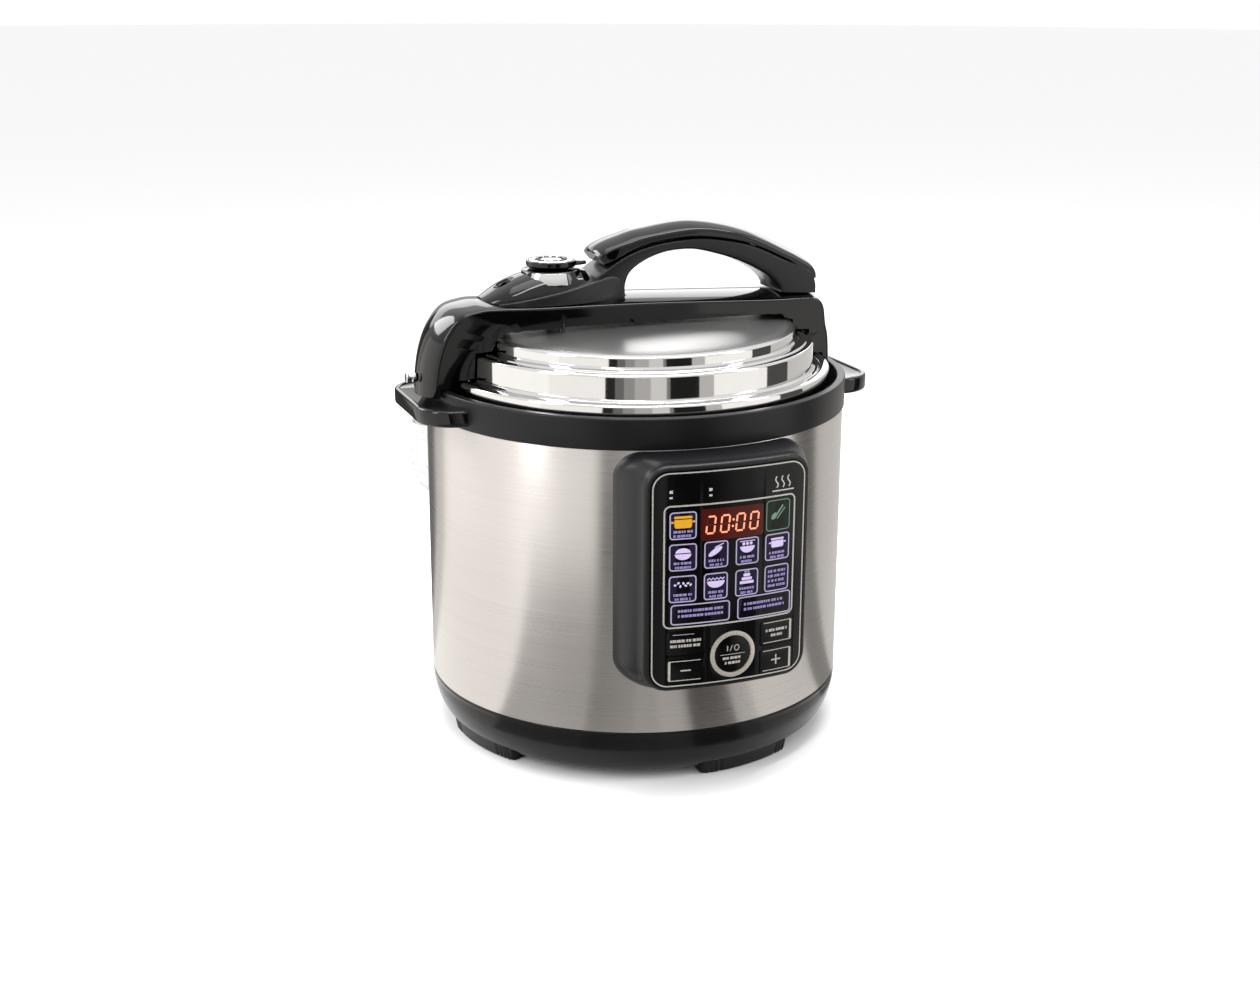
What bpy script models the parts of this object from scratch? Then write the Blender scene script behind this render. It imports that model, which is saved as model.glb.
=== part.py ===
"""Electric pressure cooker: a free-standing six-litre pot with a bayonet lid and a control panel.

The frame has +Z up, X along the side handles and the lid's handle, and the control panel facing -Y.
The origin is on the pot's axis, at the height of the surface that the feet stand on.
"""
import math

import bmesh
import bpy
from mathutils import Matrix, Vector

MM = 0.001
GAP = 0.3 * MM                 # standing gap between pieces that touch
TURN_GAP = 0.9 * MM            # between round pieces that turn against each other

# ---- driving dimensions -------------------------------------------------------------------------
BODY_R = 136 * MM              # outside of the steel body
SHELL_WALL = 0.8 * MM
BASE_TOP = 36 * MM             # height where the steel body starts
COLLAR_BOTTOM = 216 * MM       # height where the steel body ends
COLLAR_TOP = 235 * MM
COLLAR_R = 137 * MM
COLLAR_WALL = 4 * MM
FLOOR_CLEAR = 4.5 * MM         # underside of the base pan above the table
FLAT_R = 118 * MM              # flat underside of the base pan
BASE_WALL = 2.5 * MM
FOOT_R = 132 * MM
FOOT_WIDTH = 21 * MM
FOOT_ARC = 35                  # degrees
FOOT_FIRST = -75               # degrees from +X to the middle of the first foot

HANDLE_REACH = 154 * MM        # from the axis to the tip of a side handle
HANDLE_HALF = 49 * MM
HANDLE_LOW = 218 * MM
HANDLE_HIGH = 227 * MM
HANDLE_LIP = 1.5 * MM

LINER_R = 114.5 * MM           # outside of the pressure liner
LINER_WALL = 1.0 * MM
LINER_FLOOR = 48 * MM
FLANGE_Z = 221 * MM            # underside of the liner's bayonet flange
FLANGE_T = 2.2 * MM
FLANGE_R = 121 * MM
TEETH = 6
POT_R = 110 * MM               # outside of the removable pot
POT_WALL = 1.2 * MM
POT_FLOOR = 62.4 * MM
POT_RIM_R = 117 * MM
POT_RIM_TOP = 226.3 * MM
PLATE_R = 82 * MM              # heater plate
PLATE_T = 9.5 * MM
SENSOR_R = 9 * MM
SENSOR_TRAVEL = 3 * MM

LID_RIM_R = 127 * MM
LID_RIM_LOW = 231.5 * MM
LID_STEP_R = 116 * MM          # lower step of the lid
LID_STEP_Z = 257 * MM
LID_TOP_R = 104 * MM           # upper step of the lid
LID_TOP_Z = 267.5 * MM
LID_CROWN = 1.5 * MM
LID_WALL = 1.0 * MM
PAN_TOP = 237.2 * MM           # pressure pan under the lid's skin
PAN_WALL = 1.2 * MM
SKIRT_R = 123.5 * MM
SKIRT_LOW = 217.6 * MM
SEAL_IN = 107.5 * MM
SEAL_LOW = POT_RIM_TOP + GAP

BEAM_HALF = 26 * MM            # half the width of the lid's spine
BEAM_TOP = 286 * MM
BEAM_LOW = 270.5 * MM
BEAM_REACH = 147.5 * MM        # left foot of the spine
BEAM_RIGHT = 138 * MM          # right foot of the spine
BEAM_FOOT = 230.5 * MM
BEAM_CROWN = 3.5 * MM
GRIP_HALF = 17 * MM
GRIP_TOP = 331 * MM
VENT_X = -57 * MM
FLOAT_X = -88 * MM
DIAL_R = 16 * MM
DIAL_Z = 305.5 * MM
DIAL_T = 4.5 * MM
PIPE_R = 4 * MM
FLOAT_R = 2.6 * MM
FLOAT_TRAVEL = 4.5 * MM

PANEL_REACH = 159.5 * MM       # from the axis to the middle of the panel's face
PANEL_CURVE = 242 * MM         # radius of the panel's face about a vertical axis
PANEL_HALF = 49.5 * MM
PANEL_LOW = 75.8 * MM
PANEL_HIGH = 209.3 * MM
PANEL_CORNER = 11 * MM
BOX_HALF = 61 * MM             # control box where it meets the steel
BOX_LOW = 71 * MM
BOX_HIGH = 215.4 * MM
BOX_WALL = 2.4 * MM
FASCIA_T = 2 * MM
LEDGE = 1.2 * MM               # rim of the control box that the fascia sits on
KEY_TRAVEL = 0.8 * MM
KEY_GAP = 0.4 * MM
BOARD_T = 1.6 * MM
BOARD_Y = -143.4 * MM          # back face of the control board

INLET_REACH = PANEL_REACH      # the inlet stands as far behind the axis as the panel stands in front
INLET_HALF = 21 * MM
INLET_LOW = 42 * MM
INLET_HIGH = 76 * MM
SOCKET_HALF = 13 * MM
SOCKET_HIGH = 20 * MM
SOCKET_DEPTH = 17 * MM

CUP_ANGLE = 135                # degrees from +X to the condensation cup
CUP_REACH = 164 * MM
CUP_HALF = 30 * MM
CUP_LOW = 137 * MM
CUP_HIGH = 188 * MM
CUP_WALL = 1.6 * MM
BRACKET_T = 2.4 * MM

RING_STEPS = 36                # every large ring has the same facets, so nested rings stay clear
SMALL_STEPS = 12


# ---- tools --------------------------------------------------------------------------------------
def clear_scene():
    for thing in list(bpy.data.objects):
        bpy.data.objects.remove(thing, do_unlink=True)


def finish(name, colour, roughness, metallic=0.0):
    """One Principled BSDF with a plain colour, given as a hex value."""
    mat = bpy.data.materials.new(name)
    mat.use_nodes = True
    shader = mat.node_tree.nodes["Principled BSDF"]
    rgb = [((colour >> s & 255) / 255) ** 2.2 for s in (16, 8, 0)]
    shader.inputs["Base Color"].default_value = (*rgb, 1)
    shader.inputs["Roughness"].default_value = roughness
    shader.inputs["Metallic"].default_value = metallic
    mat.diffuse_color = (*rgb, 1)
    return mat


def make(name, bm, mat, origin=(0, 0, 0), smooth=True):
    """Turn a bmesh into a scene object whose origin is at the given world point."""
    bmesh.ops.remove_doubles(bm, verts=bm.verts, dist=0.001 * MM)
    bmesh.ops.recalc_face_normals(bm, faces=bm.faces)
    bm.transform(Matrix.Translation(-Vector(origin)))
    mesh = bpy.data.meshes.new(name)
    bm.to_mesh(mesh)
    bm.free()
    if smooth:
        mesh.shade_smooth()
        mesh.set_sharp_from_angle(angle=math.radians(35))
    if mat:
        mesh.materials.append(mat)
    piece = bpy.data.objects.new(name, mesh)
    piece.location = origin
    bpy.context.collection.objects.link(piece)
    return piece


def turned_mesh(profile, steps=RING_STEPS, centre=(0, 0), first=0, turn=360):
    """Spin a closed (radius, height) outline about the vertical line through centre."""
    bm = bmesh.new()
    verts = [bm.verts.new((r, 0, z)) for r, z in profile]
    pairs = list(zip(verts, verts[1:] + verts[:1]))
    if turn == 360 and profile[0][0] == 0 and profile[-1][0] == 0:
        pairs.pop()
    edges = [bm.edges.new(p) for p in pairs]
    bmesh.ops.spin(bm, geom=verts + edges, axis=(0, 0, 1), cent=(0, 0, 0),
                   angle=math.radians(turn), steps=steps, use_duplicate=False)
    bmesh.ops.remove_doubles(bm, verts=bm.verts, dist=0.001 * MM)
    if turn < 360:
        rim = [e for e in bm.edges if e.is_boundary]
        bmesh.ops.holes_fill(bm, edges=rim, sides=0)
    bm.transform(Matrix.Translation((*centre, 0)) @ Matrix.Rotation(math.radians(first), 4, "Z"))
    return bm


def turned(name, profile, mat, origin=(0, 0, 0), **spin):
    return make(name, turned_mesh(profile, **spin), mat, origin)


def prism_mesh(outline, low, high, axis="Z"):
    """Extrude a closed outline between two heights along Z, or an (x, z) outline along Y."""
    place = {"Z": lambda u, v, h: (u, v, h), "Y": lambda u, v, h: (u, h, v)}[axis]
    bm = bmesh.new()
    face = bm.faces.new([bm.verts.new(place(u, v, low)) for u, v in outline])
    moved = bmesh.ops.extrude_face_region(bm, geom=[face])["geom"]
    step = Vector(place(0, 0, high - low))
    bmesh.ops.translate(bm, verts=[v for v in moved if isinstance(v, bmesh.types.BMVert)], vec=step)
    return bm


def soften(piece, width, segments=2):
    mod = piece.modifiers.new("soften", "BEVEL")
    mod.width = width
    mod.segments = segments
    mod.limit_method = "ANGLE"
    mod.angle_limit = math.radians(40)


def ring_mesh(rings, closed=False):
    """Skin a list of rings with equal counts; close the ends with caps, or join last to first."""
    bm = bmesh.new()
    rows = [[bm.verts.new(p) for p in ring] for ring in rings]
    pairs = list(zip(rows, rows[1:]))
    if closed:
        pairs.append((rows[-1], rows[0]))
    for a, b in pairs:
        for i in range(len(a)):
            j = (i + 1) % len(a)
            bm.faces.new((a[i], a[j], b[j], b[i]))
    if not closed:
        bm.faces.new(rows[0])
        bm.faces.new(rows[-1])
    return bm


def rounded_box(half_w, low, high, corner, count=4, edge=1):
    """Points of a rounded rectangle centred on u = 0, anticlockwise from its lower right."""
    middle = [(half_w - corner, low + corner, -90), (half_w - corner, high - corner, 0),
              (corner - half_w, high - corner, 90), (corner - half_w, low + corner, 180)]
    points = []
    for k, (u, v, start) in enumerate(middle):
        for i in range(count + 1):
            a = math.radians(start + 90 * i / count)
            points.append((u + corner * math.cos(a), v + corner * math.sin(a)))
        after = middle[(k + 1) % 4]
        end = math.radians(after[2])
        u1 = after[0] + corner * math.cos(end)
        v1 = after[1] + corner * math.sin(end)
        if k % 2 == 1:
            u0, v0 = points[-1]
            points += [(u0 + (u1 - u0) * i / edge, v0 + (v1 - v0) * i / edge)
                       for i in range(1, edge)]
    return points


def circle(radius, centre=(0, 0), count=SMALL_STEPS):
    return [(centre[0] + radius * math.cos(2 * math.pi * i / count),
             centre[1] + radius * math.sin(2 * math.pi * i / count)) for i in range(count)]


def rectangle(u0, v0, u1, v1):
    return [(u0, v0), (u1, v0), (u1, v1), (u0, v1)]


def box_mesh(low, high):
    return prism_mesh(rectangle(low[0], low[1], high[0], high[1]), low[2], high[2])


def box(name, low, high, mat, bevel=0.0):
    piece = make(name, box_mesh(low, high), mat, smooth=False)
    if bevel:
        soften(piece, bevel)
    return piece


def cutter(bm, name="cutter"):
    tool = make(name, bm, None)
    tool.hide_render = True
    tool.display_type = "WIRE"
    return tool


def boolean(piece, tool, operation="DIFFERENCE"):
    mod = piece.modifiers.new(tool.name, "BOOLEAN")
    mod.operation = operation
    mod.object = tool
    mod.solver = "EXACT"


def drill(piece, radius, centre, low, high, steps=SMALL_STEPS):
    boolean(piece, cutter(prism_mesh(circle(radius, centre, steps), low, high), "hole"))


def fuse(piece, bm, name="joined"):
    """Join another solid to a piece, where the real one is soldered, cast or welded to it."""
    boolean(piece, cutter(bm, name), "UNION")


def smooth_through(keys, steps):
    """Catmull-Rom curve through tuples of numbers, with the same number of steps in each span."""
    out = []
    for i in range(len(keys) - 1):
        p0, p1, p2 = keys[max(i - 1, 0)], keys[i], keys[i + 1]
        p3 = keys[min(i + 2, len(keys) - 1)]
        for k in range(steps):
            t = k / steps
            out.append(tuple(0.5 * (2 * b + (c - a) * t + (2 * a - 5 * b + 4 * c - d) * t * t
                                    + (3 * b - a - 3 * c + d) * t ** 3)
                             for a, b, c, d in zip(p0, p1, p2, p3)))
    return out + [tuple(keys[-1])]


def arch(name, keys, mat, steps=2, across=4):
    """A bar that follows an arch in the XZ plane.

    Each key is (outer x, outer z, inner x, inner z, half width, crown); all lengths in millimetres.
    The crown is how far the outer surface drops, towards the inner one, at the bar's sides.
    """
    rings = []
    for ox, oz, ix, iz, half, crown in smooth_through(keys, steps):
        outer, inner = Vector((ox, 0, oz)), Vector((ix, 0, iz))
        drop = (inner - outer).normalized() * crown
        ring = []
        for k in range(across + 1):
            s = 2 * k / across - 1
            ring.append((outer + drop * s * s + Vector((0, s * half, 0))) * MM)
        ring.append((inner + Vector((0, half, 0))) * MM)
        ring.append((inner + Vector((0, -half, 0))) * MM)
        rings.append(ring)
    return make(name, ring_mesh(rings), mat)


def around(angle_deg):
    return Matrix.Rotation(math.radians(angle_deg), 4, "Z")


def wire(name, route, radius, mat, resolution):
    """A round wire of the given radius along a list of points in metres."""
    curve = bpy.data.curves.new(name, "CURVE")
    curve.dimensions = "3D"
    curve.bevel_depth = radius
    curve.bevel_resolution = resolution
    curve.use_fill_caps = True
    line = curve.splines.new("POLY")
    line.points.add(len(route) - 1)
    for at, point in zip(line.points, route):
        at.co = (*point, 1)
    curve.materials.append(mat)
    bpy.context.collection.objects.link(bpy.data.objects.new(name, curve))


# ---- base and body ------------------------------------------------------------------------------
def base_curve(inset=0.0, count=4):
    """The pan's side, from its flat underside up to the steel, moved inwards by the inset."""
    wide, tall = BODY_R - FLAT_R, BASE_TOP - FLOOR_CLEAR
    return [(FLAT_R - inset + wide * math.sin(a), BASE_TOP - (tall - inset) * math.cos(a))
            for a in (math.pi / 2 * i / count for i in range(count + 1))]


def build_base(black, steel):
    hole = 70 * MM
    spigot = BODY_R - SHELL_WALL - GAP
    outer = [(hole, FLOOR_CLEAR)] + base_curve()
    lip = [(spigot, BASE_TOP), (spigot, BASE_TOP + 6 * MM),
           (spigot - BASE_WALL, BASE_TOP + 6 * MM), (spigot - BASE_WALL, BASE_TOP)]
    inner = base_curve(BASE_WALL)[::-1][1:] + [(hole, FLOOR_CLEAR + BASE_WALL)]
    turned("base_pan", outer + lip + inner, black)

    plate_r = hole - GAP
    turned("bottom_cover", [(0, FLOOR_CLEAR), (plate_r, FLOOR_CLEAR),
                            (plate_r, FLOOR_CLEAR + BASE_WALL + GAP),
                            (plate_r + 8 * MM, FLOOR_CLEAR + BASE_WALL + GAP),
                            (plate_r + 8 * MM, FLOOR_CLEAR + 2 * BASE_WALL),
                            (0, FLOOR_CLEAR + 2 * BASE_WALL)], black)

    side = [(r + GAP, z - GAP) for r, z in base_curve() if r < FOOT_R - 1.5 * MM]
    last = next(z for r, z in base_curve(count=60) if r >= FOOT_R - 1 * MM)
    section = ([(FOOT_R - FOOT_WIDTH, 0), (FOOT_R - 1.5 * MM, 0), (FOOT_R, 1.5 * MM),
                (FOOT_R + 1.2 * MM, last - 3 * MM)] + side[::-1]
               + [(FOOT_R - FOOT_WIDTH, FLOOR_CLEAR - GAP)])
    for k in range(4):
        turned(f"foot_{k + 1}", section, black, steps=6, turn=FOOT_ARC,
               first=FOOT_FIRST + 90 * k - FOOT_ARC / 2)

    screw_ring = plate_r - 12 * MM
    low = FLOOR_CLEAR + 2 * BASE_WALL + GAP
    for k in range(3):
        a = math.radians(60 + 120 * k)
        turned(f"base_screw_{k + 1}", [(0, low), (3.2 * MM, low), (3.2 * MM, low + 2 * MM),
                                       (1.6 * MM, low + 2.2 * MM), (1.6 * MM, low + 9 * MM),
                                       (0, low + 9 * MM)], steel, steps=8,
               centre=(screw_ring * math.cos(a), screw_ring * math.sin(a)))


def build_shell(steel):
    inner = BODY_R - SHELL_WALL
    low, high = BASE_TOP + GAP, COLLAR_BOTTOM - GAP
    shell = turned("outer_shell", [(inner, low), (BODY_R, low), (BODY_R, high), (inner, high)],
                   steel)
    window = PANEL_HALF - 2 * MM
    hole = rounded_box(window, PANEL_LOW + 4 * MM, PANEL_HIGH - 4 * MM, 8 * MM, 3)
    boolean(shell, cutter(prism_mesh(hole, -2 * BODY_R, -BODY_R / 2, "Y"), "panel_hole"))
    half = SOCKET_HALF + 1.5 * MM
    socket = rectangle(-half, INLET_LOW + 5 * MM, half, INLET_HIGH - 5 * MM)
    boolean(shell, cutter(prism_mesh(socket, BODY_R / 2, 2 * BODY_R, "Y"), "inlet_hole"))


def build_collar(black):
    seat = LINER_R + GAP
    spigot = BODY_R - SHELL_WALL - GAP
    floor = COLLAR_BOTTOM + 0.6 * MM
    wall_in = COLLAR_R - COLLAR_WALL - 1.5 * MM
    section = [(seat, COLLAR_BOTTOM - 6 * MM), (spigot - 2 * MM, COLLAR_BOTTOM - 6 * MM),
               (spigot, COLLAR_BOTTOM - 5 * MM), (spigot, COLLAR_BOTTOM),
               (COLLAR_R, COLLAR_BOTTOM), (COLLAR_R, COLLAR_TOP - 1.5 * MM),
               (COLLAR_R - 1.5 * MM, COLLAR_TOP), (wall_in + 1 * MM, COLLAR_TOP),
               (wall_in, COLLAR_TOP - 1 * MM), (wall_in, floor),
               (FLANGE_R - 2.5 * MM, floor), (FLANGE_R - 2.5 * MM, FLANGE_Z - GAP),
               (seat, FLANGE_Z - GAP)]
    collar = turned("top_collar", section, black)
    root = COLLAR_R - COLLAR_WALL
    keep_out = cutter(turned_mesh([(0, HANDLE_LOW - 5 * MM), (root, HANDLE_LOW - 5 * MM),
                                   (root, COLLAR_TOP), (0, COLLAR_TOP)]), "ring_keep_out")
    for side in (-1, 1):
        corner = 24 * MM
        plan = rounded_box(HANDLE_REACH, -HANDLE_HALF, HANDLE_HALF, corner, 6)
        plan = [(x, y) for x, y in plan if x > 0]
        plan = [(0, -HANDLE_HALF)] + sorted(plan, key=lambda p: p[1]) + [(0, HANDLE_HALF)]
        slab = prism_mesh([(side * x, y) for x, y in plan], HANDLE_LOW, HANDLE_HIGH + HANDLE_LIP)
        tool = cutter(slab, "handle_slab")
        dish = [(side * max(0, x - 4 * MM), y * 0.92) for x, y in plan]
        boolean(tool, cutter(prism_mesh(dish, HANDLE_HIGH, HANDLE_HIGH + 9 * MM), "handle_dish"))
        boolean(tool, keep_out)
        boolean(collar, tool, "UNION")


# ---- pressure liner and heating -----------------------------------------------------------------
def toothed(name, inner, outer, root, low, high, share, mat):
    """A flat ring with TEETH teeth between the root and outer radii; a tooth's share is of its pitch."""
    points, per = [], 5
    for k in range(TEETH):
        start = 360 / TEETH * (k - share / 2)
        for i in range(per + 1):
            a = math.radians(start + 360 / TEETH * share * i / per)
            points.append((outer * math.cos(a), outer * math.sin(a)))
        for i in range(1, per):
            a = math.radians(start + 360 / TEETH * (share + (1 - share) * i / per))
            points.append((root * math.cos(a), root * math.sin(a)))
    ring = make(name, prism_mesh(points, low, high), mat)
    boolean(ring, cutter(prism_mesh(circle(inner, count=RING_STEPS), low - MM, high + MM), "bore"))
    return ring


def build_liner(steel, aluminium):
    inner = LINER_R - LINER_WALL
    hole = 30 * MM
    top = FLANGE_Z - GAP
    turned("pressure_liner", [(hole, LINER_FLOOR), (inner - 8 * MM, LINER_FLOOR),
                              (LINER_R, LINER_FLOOR + 9 * MM), (LINER_R, top), (inner, top),
                              (inner, LINER_FLOOR + 9.5 * MM),
                              (inner - 8.5 * MM, LINER_FLOOR + LINER_WALL),
                              (hole, LINER_FLOOR + LINER_WALL)], steel)
    toothed("bayonet_flange", inner, FLANGE_R, FLANGE_R - 2 * MM, FLANGE_Z, FLANGE_Z + FLANGE_T,
            0.5, steel)

    plate_low = POT_FLOOR - GAP - PLATE_T
    bore = SENSOR_R + 2.5 * MM
    plate = turned("heater_plate", [(bore, plate_low), (PLATE_R - 6 * MM, plate_low),
                            (PLATE_R, plate_low + 4 * MM), (PLATE_R, plate_low + PLATE_T - 1 * MM),
                            (PLATE_R - 1 * MM, plate_low + PLATE_T), (bore, plate_low + PLATE_T)],
           aluminium)
    under = plate_low - GAP
    turned("heater_spring_plate", [(hole + 6 * MM, LINER_FLOOR + LINER_WALL + GAP),
                                   (PLATE_R - 8 * MM, LINER_FLOOR + LINER_WALL + GAP),
                                   (PLATE_R - 8 * MM, under), (hole + 6 * MM, under)], steel)
    for side in (-1, 1):
        pin = [(0, plate_low - 14 * MM), (2.4 * MM, plate_low - 14 * MM),
               (2.4 * MM, plate_low + MM), (0, plate_low + MM)]
        fuse(plate, turned_mesh(pin, steps=10, centre=(0, side * 21 * MM)), "terminal")


def build_sensor(steel, brass):
    top = POT_FLOOR - GAP
    turned("sensor_cap", [(0, top), (0, top - 1 * MM), (SENSOR_R - 1.5 * MM, top - 1 * MM),
                          (SENSOR_R - 1.5 * MM, top - 9 * MM), (SENSOR_R, top - 9 * MM),
                          (SENSOR_R, top - 1.5 * MM), (SENSOR_R - 1.5 * MM, top)],
           brass, steps=SMALL_STEPS)
    low = top - 9 * MM - SENSOR_TRAVEL - 3 * MM
    turned("sensor_holder", [(SENSOR_R + GAP, low + 2 * MM), (SENSOR_R + GAP, top - 6 * MM),
                             (SENSOR_R + 2 * MM, top - 6 * MM), (SENSOR_R + 2 * MM, low + 2 * MM),
                             (SENSOR_R + 2 * MM, low), (0, low), (0, low + 2 * MM)],
           steel, steps=SMALL_STEPS)
    turns, per_turn, coil_r, wire_r = 4, 8, 5 * MM, 0.5 * MM
    start, end = low + 2 * MM + GAP + wire_r, top - 1 * MM - GAP - wire_r
    count = turns * per_turn
    wire("sensor_spring", [(coil_r * math.cos(2 * math.pi * i / per_turn),
                            coil_r * math.sin(2 * math.pi * i / per_turn),
                            start + (end - start) * i / count) for i in range(count + 1)],
         wire_r, steel, 0)


def build_electrics(board_green, dark, steel, white):
    level = FLOOR_CLEAR + 2 * BASE_WALL + 12 * MM
    board = box("power_board", (-100 * MM, -42 * MM, level), (-28 * MM, 42 * MM, level + BOARD_T),
                board_green)
    seat = level + BOARD_T / 2
    fuse(board, box_mesh((-96 * MM, -30 * MM, seat), (-70 * MM, 0, seat + 16 * MM)), "transformer")
    fuse(board, box_mesh((-62 * MM, -36 * MM, seat), (-44 * MM, -16 * MM, seat + 14 * MM)), "relay")
    fuse(board, box_mesh((-64 * MM, 10 * MM, seat), (-40 * MM, 34 * MM, seat + 10 * MM)), "heat_sink")
    fuse(board, turned_mesh([(0, seat), (6 * MM, seat), (6 * MM, seat + 15 * MM), (0, seat + 15 * MM)],
                            steps=12, centre=(-84 * MM, 20 * MM)), "capacitor")
    box("pressure_switch", (40 * MM, -12 * MM, level), (66 * MM, 12 * MM, LINER_FLOOR - 2 * MM), white,
        1 * MM)
    z = LINER_FLOOR - 6 * MM
    turned("thermal_fuse", [(0, z - 2.5 * MM), (4 * MM, z - 2.5 * MM), (4 * MM, z + 2.5 * MM),
                            (0, z + 2.5 * MM)], steel, steps=12, centre=(20 * MM, 48 * MM))
    route = [(0, 121, 30), (-10, 112, 26), (-24, 96, 24), (-40, 76, 24), (-54, 60, 25), (-62, 50, 30)]
    wire("power_lead", [Vector(p) * MM for p in smooth_through(route, 4)], 2.5 * MM, dark, 1)


# ---- control panel ------------------------------------------------------------------------------
def face_y(x, depth=0.0):
    """The panel's face at a given x, or a surface that lies a depth behind it."""
    radius = PANEL_CURVE - depth
    return PANEL_CURVE - PANEL_REACH - math.sqrt(radius * radius - x * x)


def shell_y(x, out=GAP):
    return -math.sqrt((BODY_R + out) ** 2 - x * x)


def panel_layer(front, back):
    """The space between two depths behind the panel's face, as a cutter."""
    outer, inner = PANEL_CURVE - front, PANEL_CURVE - back
    span = math.degrees(math.asin(min(0.9, (PANEL_HALF + 6 * MM) / inner)))
    rim = [(inner, PANEL_LOW - 9 * MM), (outer, PANEL_LOW - 9 * MM),
           (outer, PANEL_HIGH + 9 * MM), (inner, PANEL_HIGH + 9 * MM)]
    return cutter(turned_mesh(rim, steps=12, centre=(0, PANEL_CURVE - PANEL_REACH),
                              first=-90 - span, turn=2 * span), "panel_layer")


def panel_piece(name, outline, front, back, mat, origin=(0, 0, 0)):
    deep, near = face_y(0, back) + 14 * MM, face_y(0) - 5 * MM
    piece = make(name, prism_mesh(outline, near, deep, "Y"), mat, origin)
    boolean(piece, panel_layer(front, back), "INTERSECT")
    return piece


def key_outlines():
    """Name, outline and centre of each key that travels."""
    keys = {}
    left = (-28 * MM, 24 * MM, 15 * MM)
    right = (31.5 * MM, 23.5 * MM, 15.5 * MM)
    rows = {"key_minus": (left, 86 * MM), "key_timer": (left, 103.5 * MM),
            "key_plus": (right, 85 * MM), "key_select": (right, 103 * MM)}
    for name, ((u, wide, tall), v) in rows.items():
        shape = rounded_box(wide / 2, -tall / 2, tall / 2, 2 * MM, 2)
        keys[name] = ([(u + a, v + b) for a, b in shape], (u, v))
    keys["key_power"] = (circle(10.6 * MM, (1.8 * MM, 93.3 * MM), 24), (1.8 * MM, 93.3 * MM))
    return keys


def grown(outline, centre, by):
    return [(u + (by if u > centre[0] else -by), v + (by if v > centre[1] else -by))
            for u, v in outline]


DISPLAY = (0.5 * MM, 175.7 * MM, 20 * MM, 11.4 * MM)     # centre x, z, half width, half height


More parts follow.
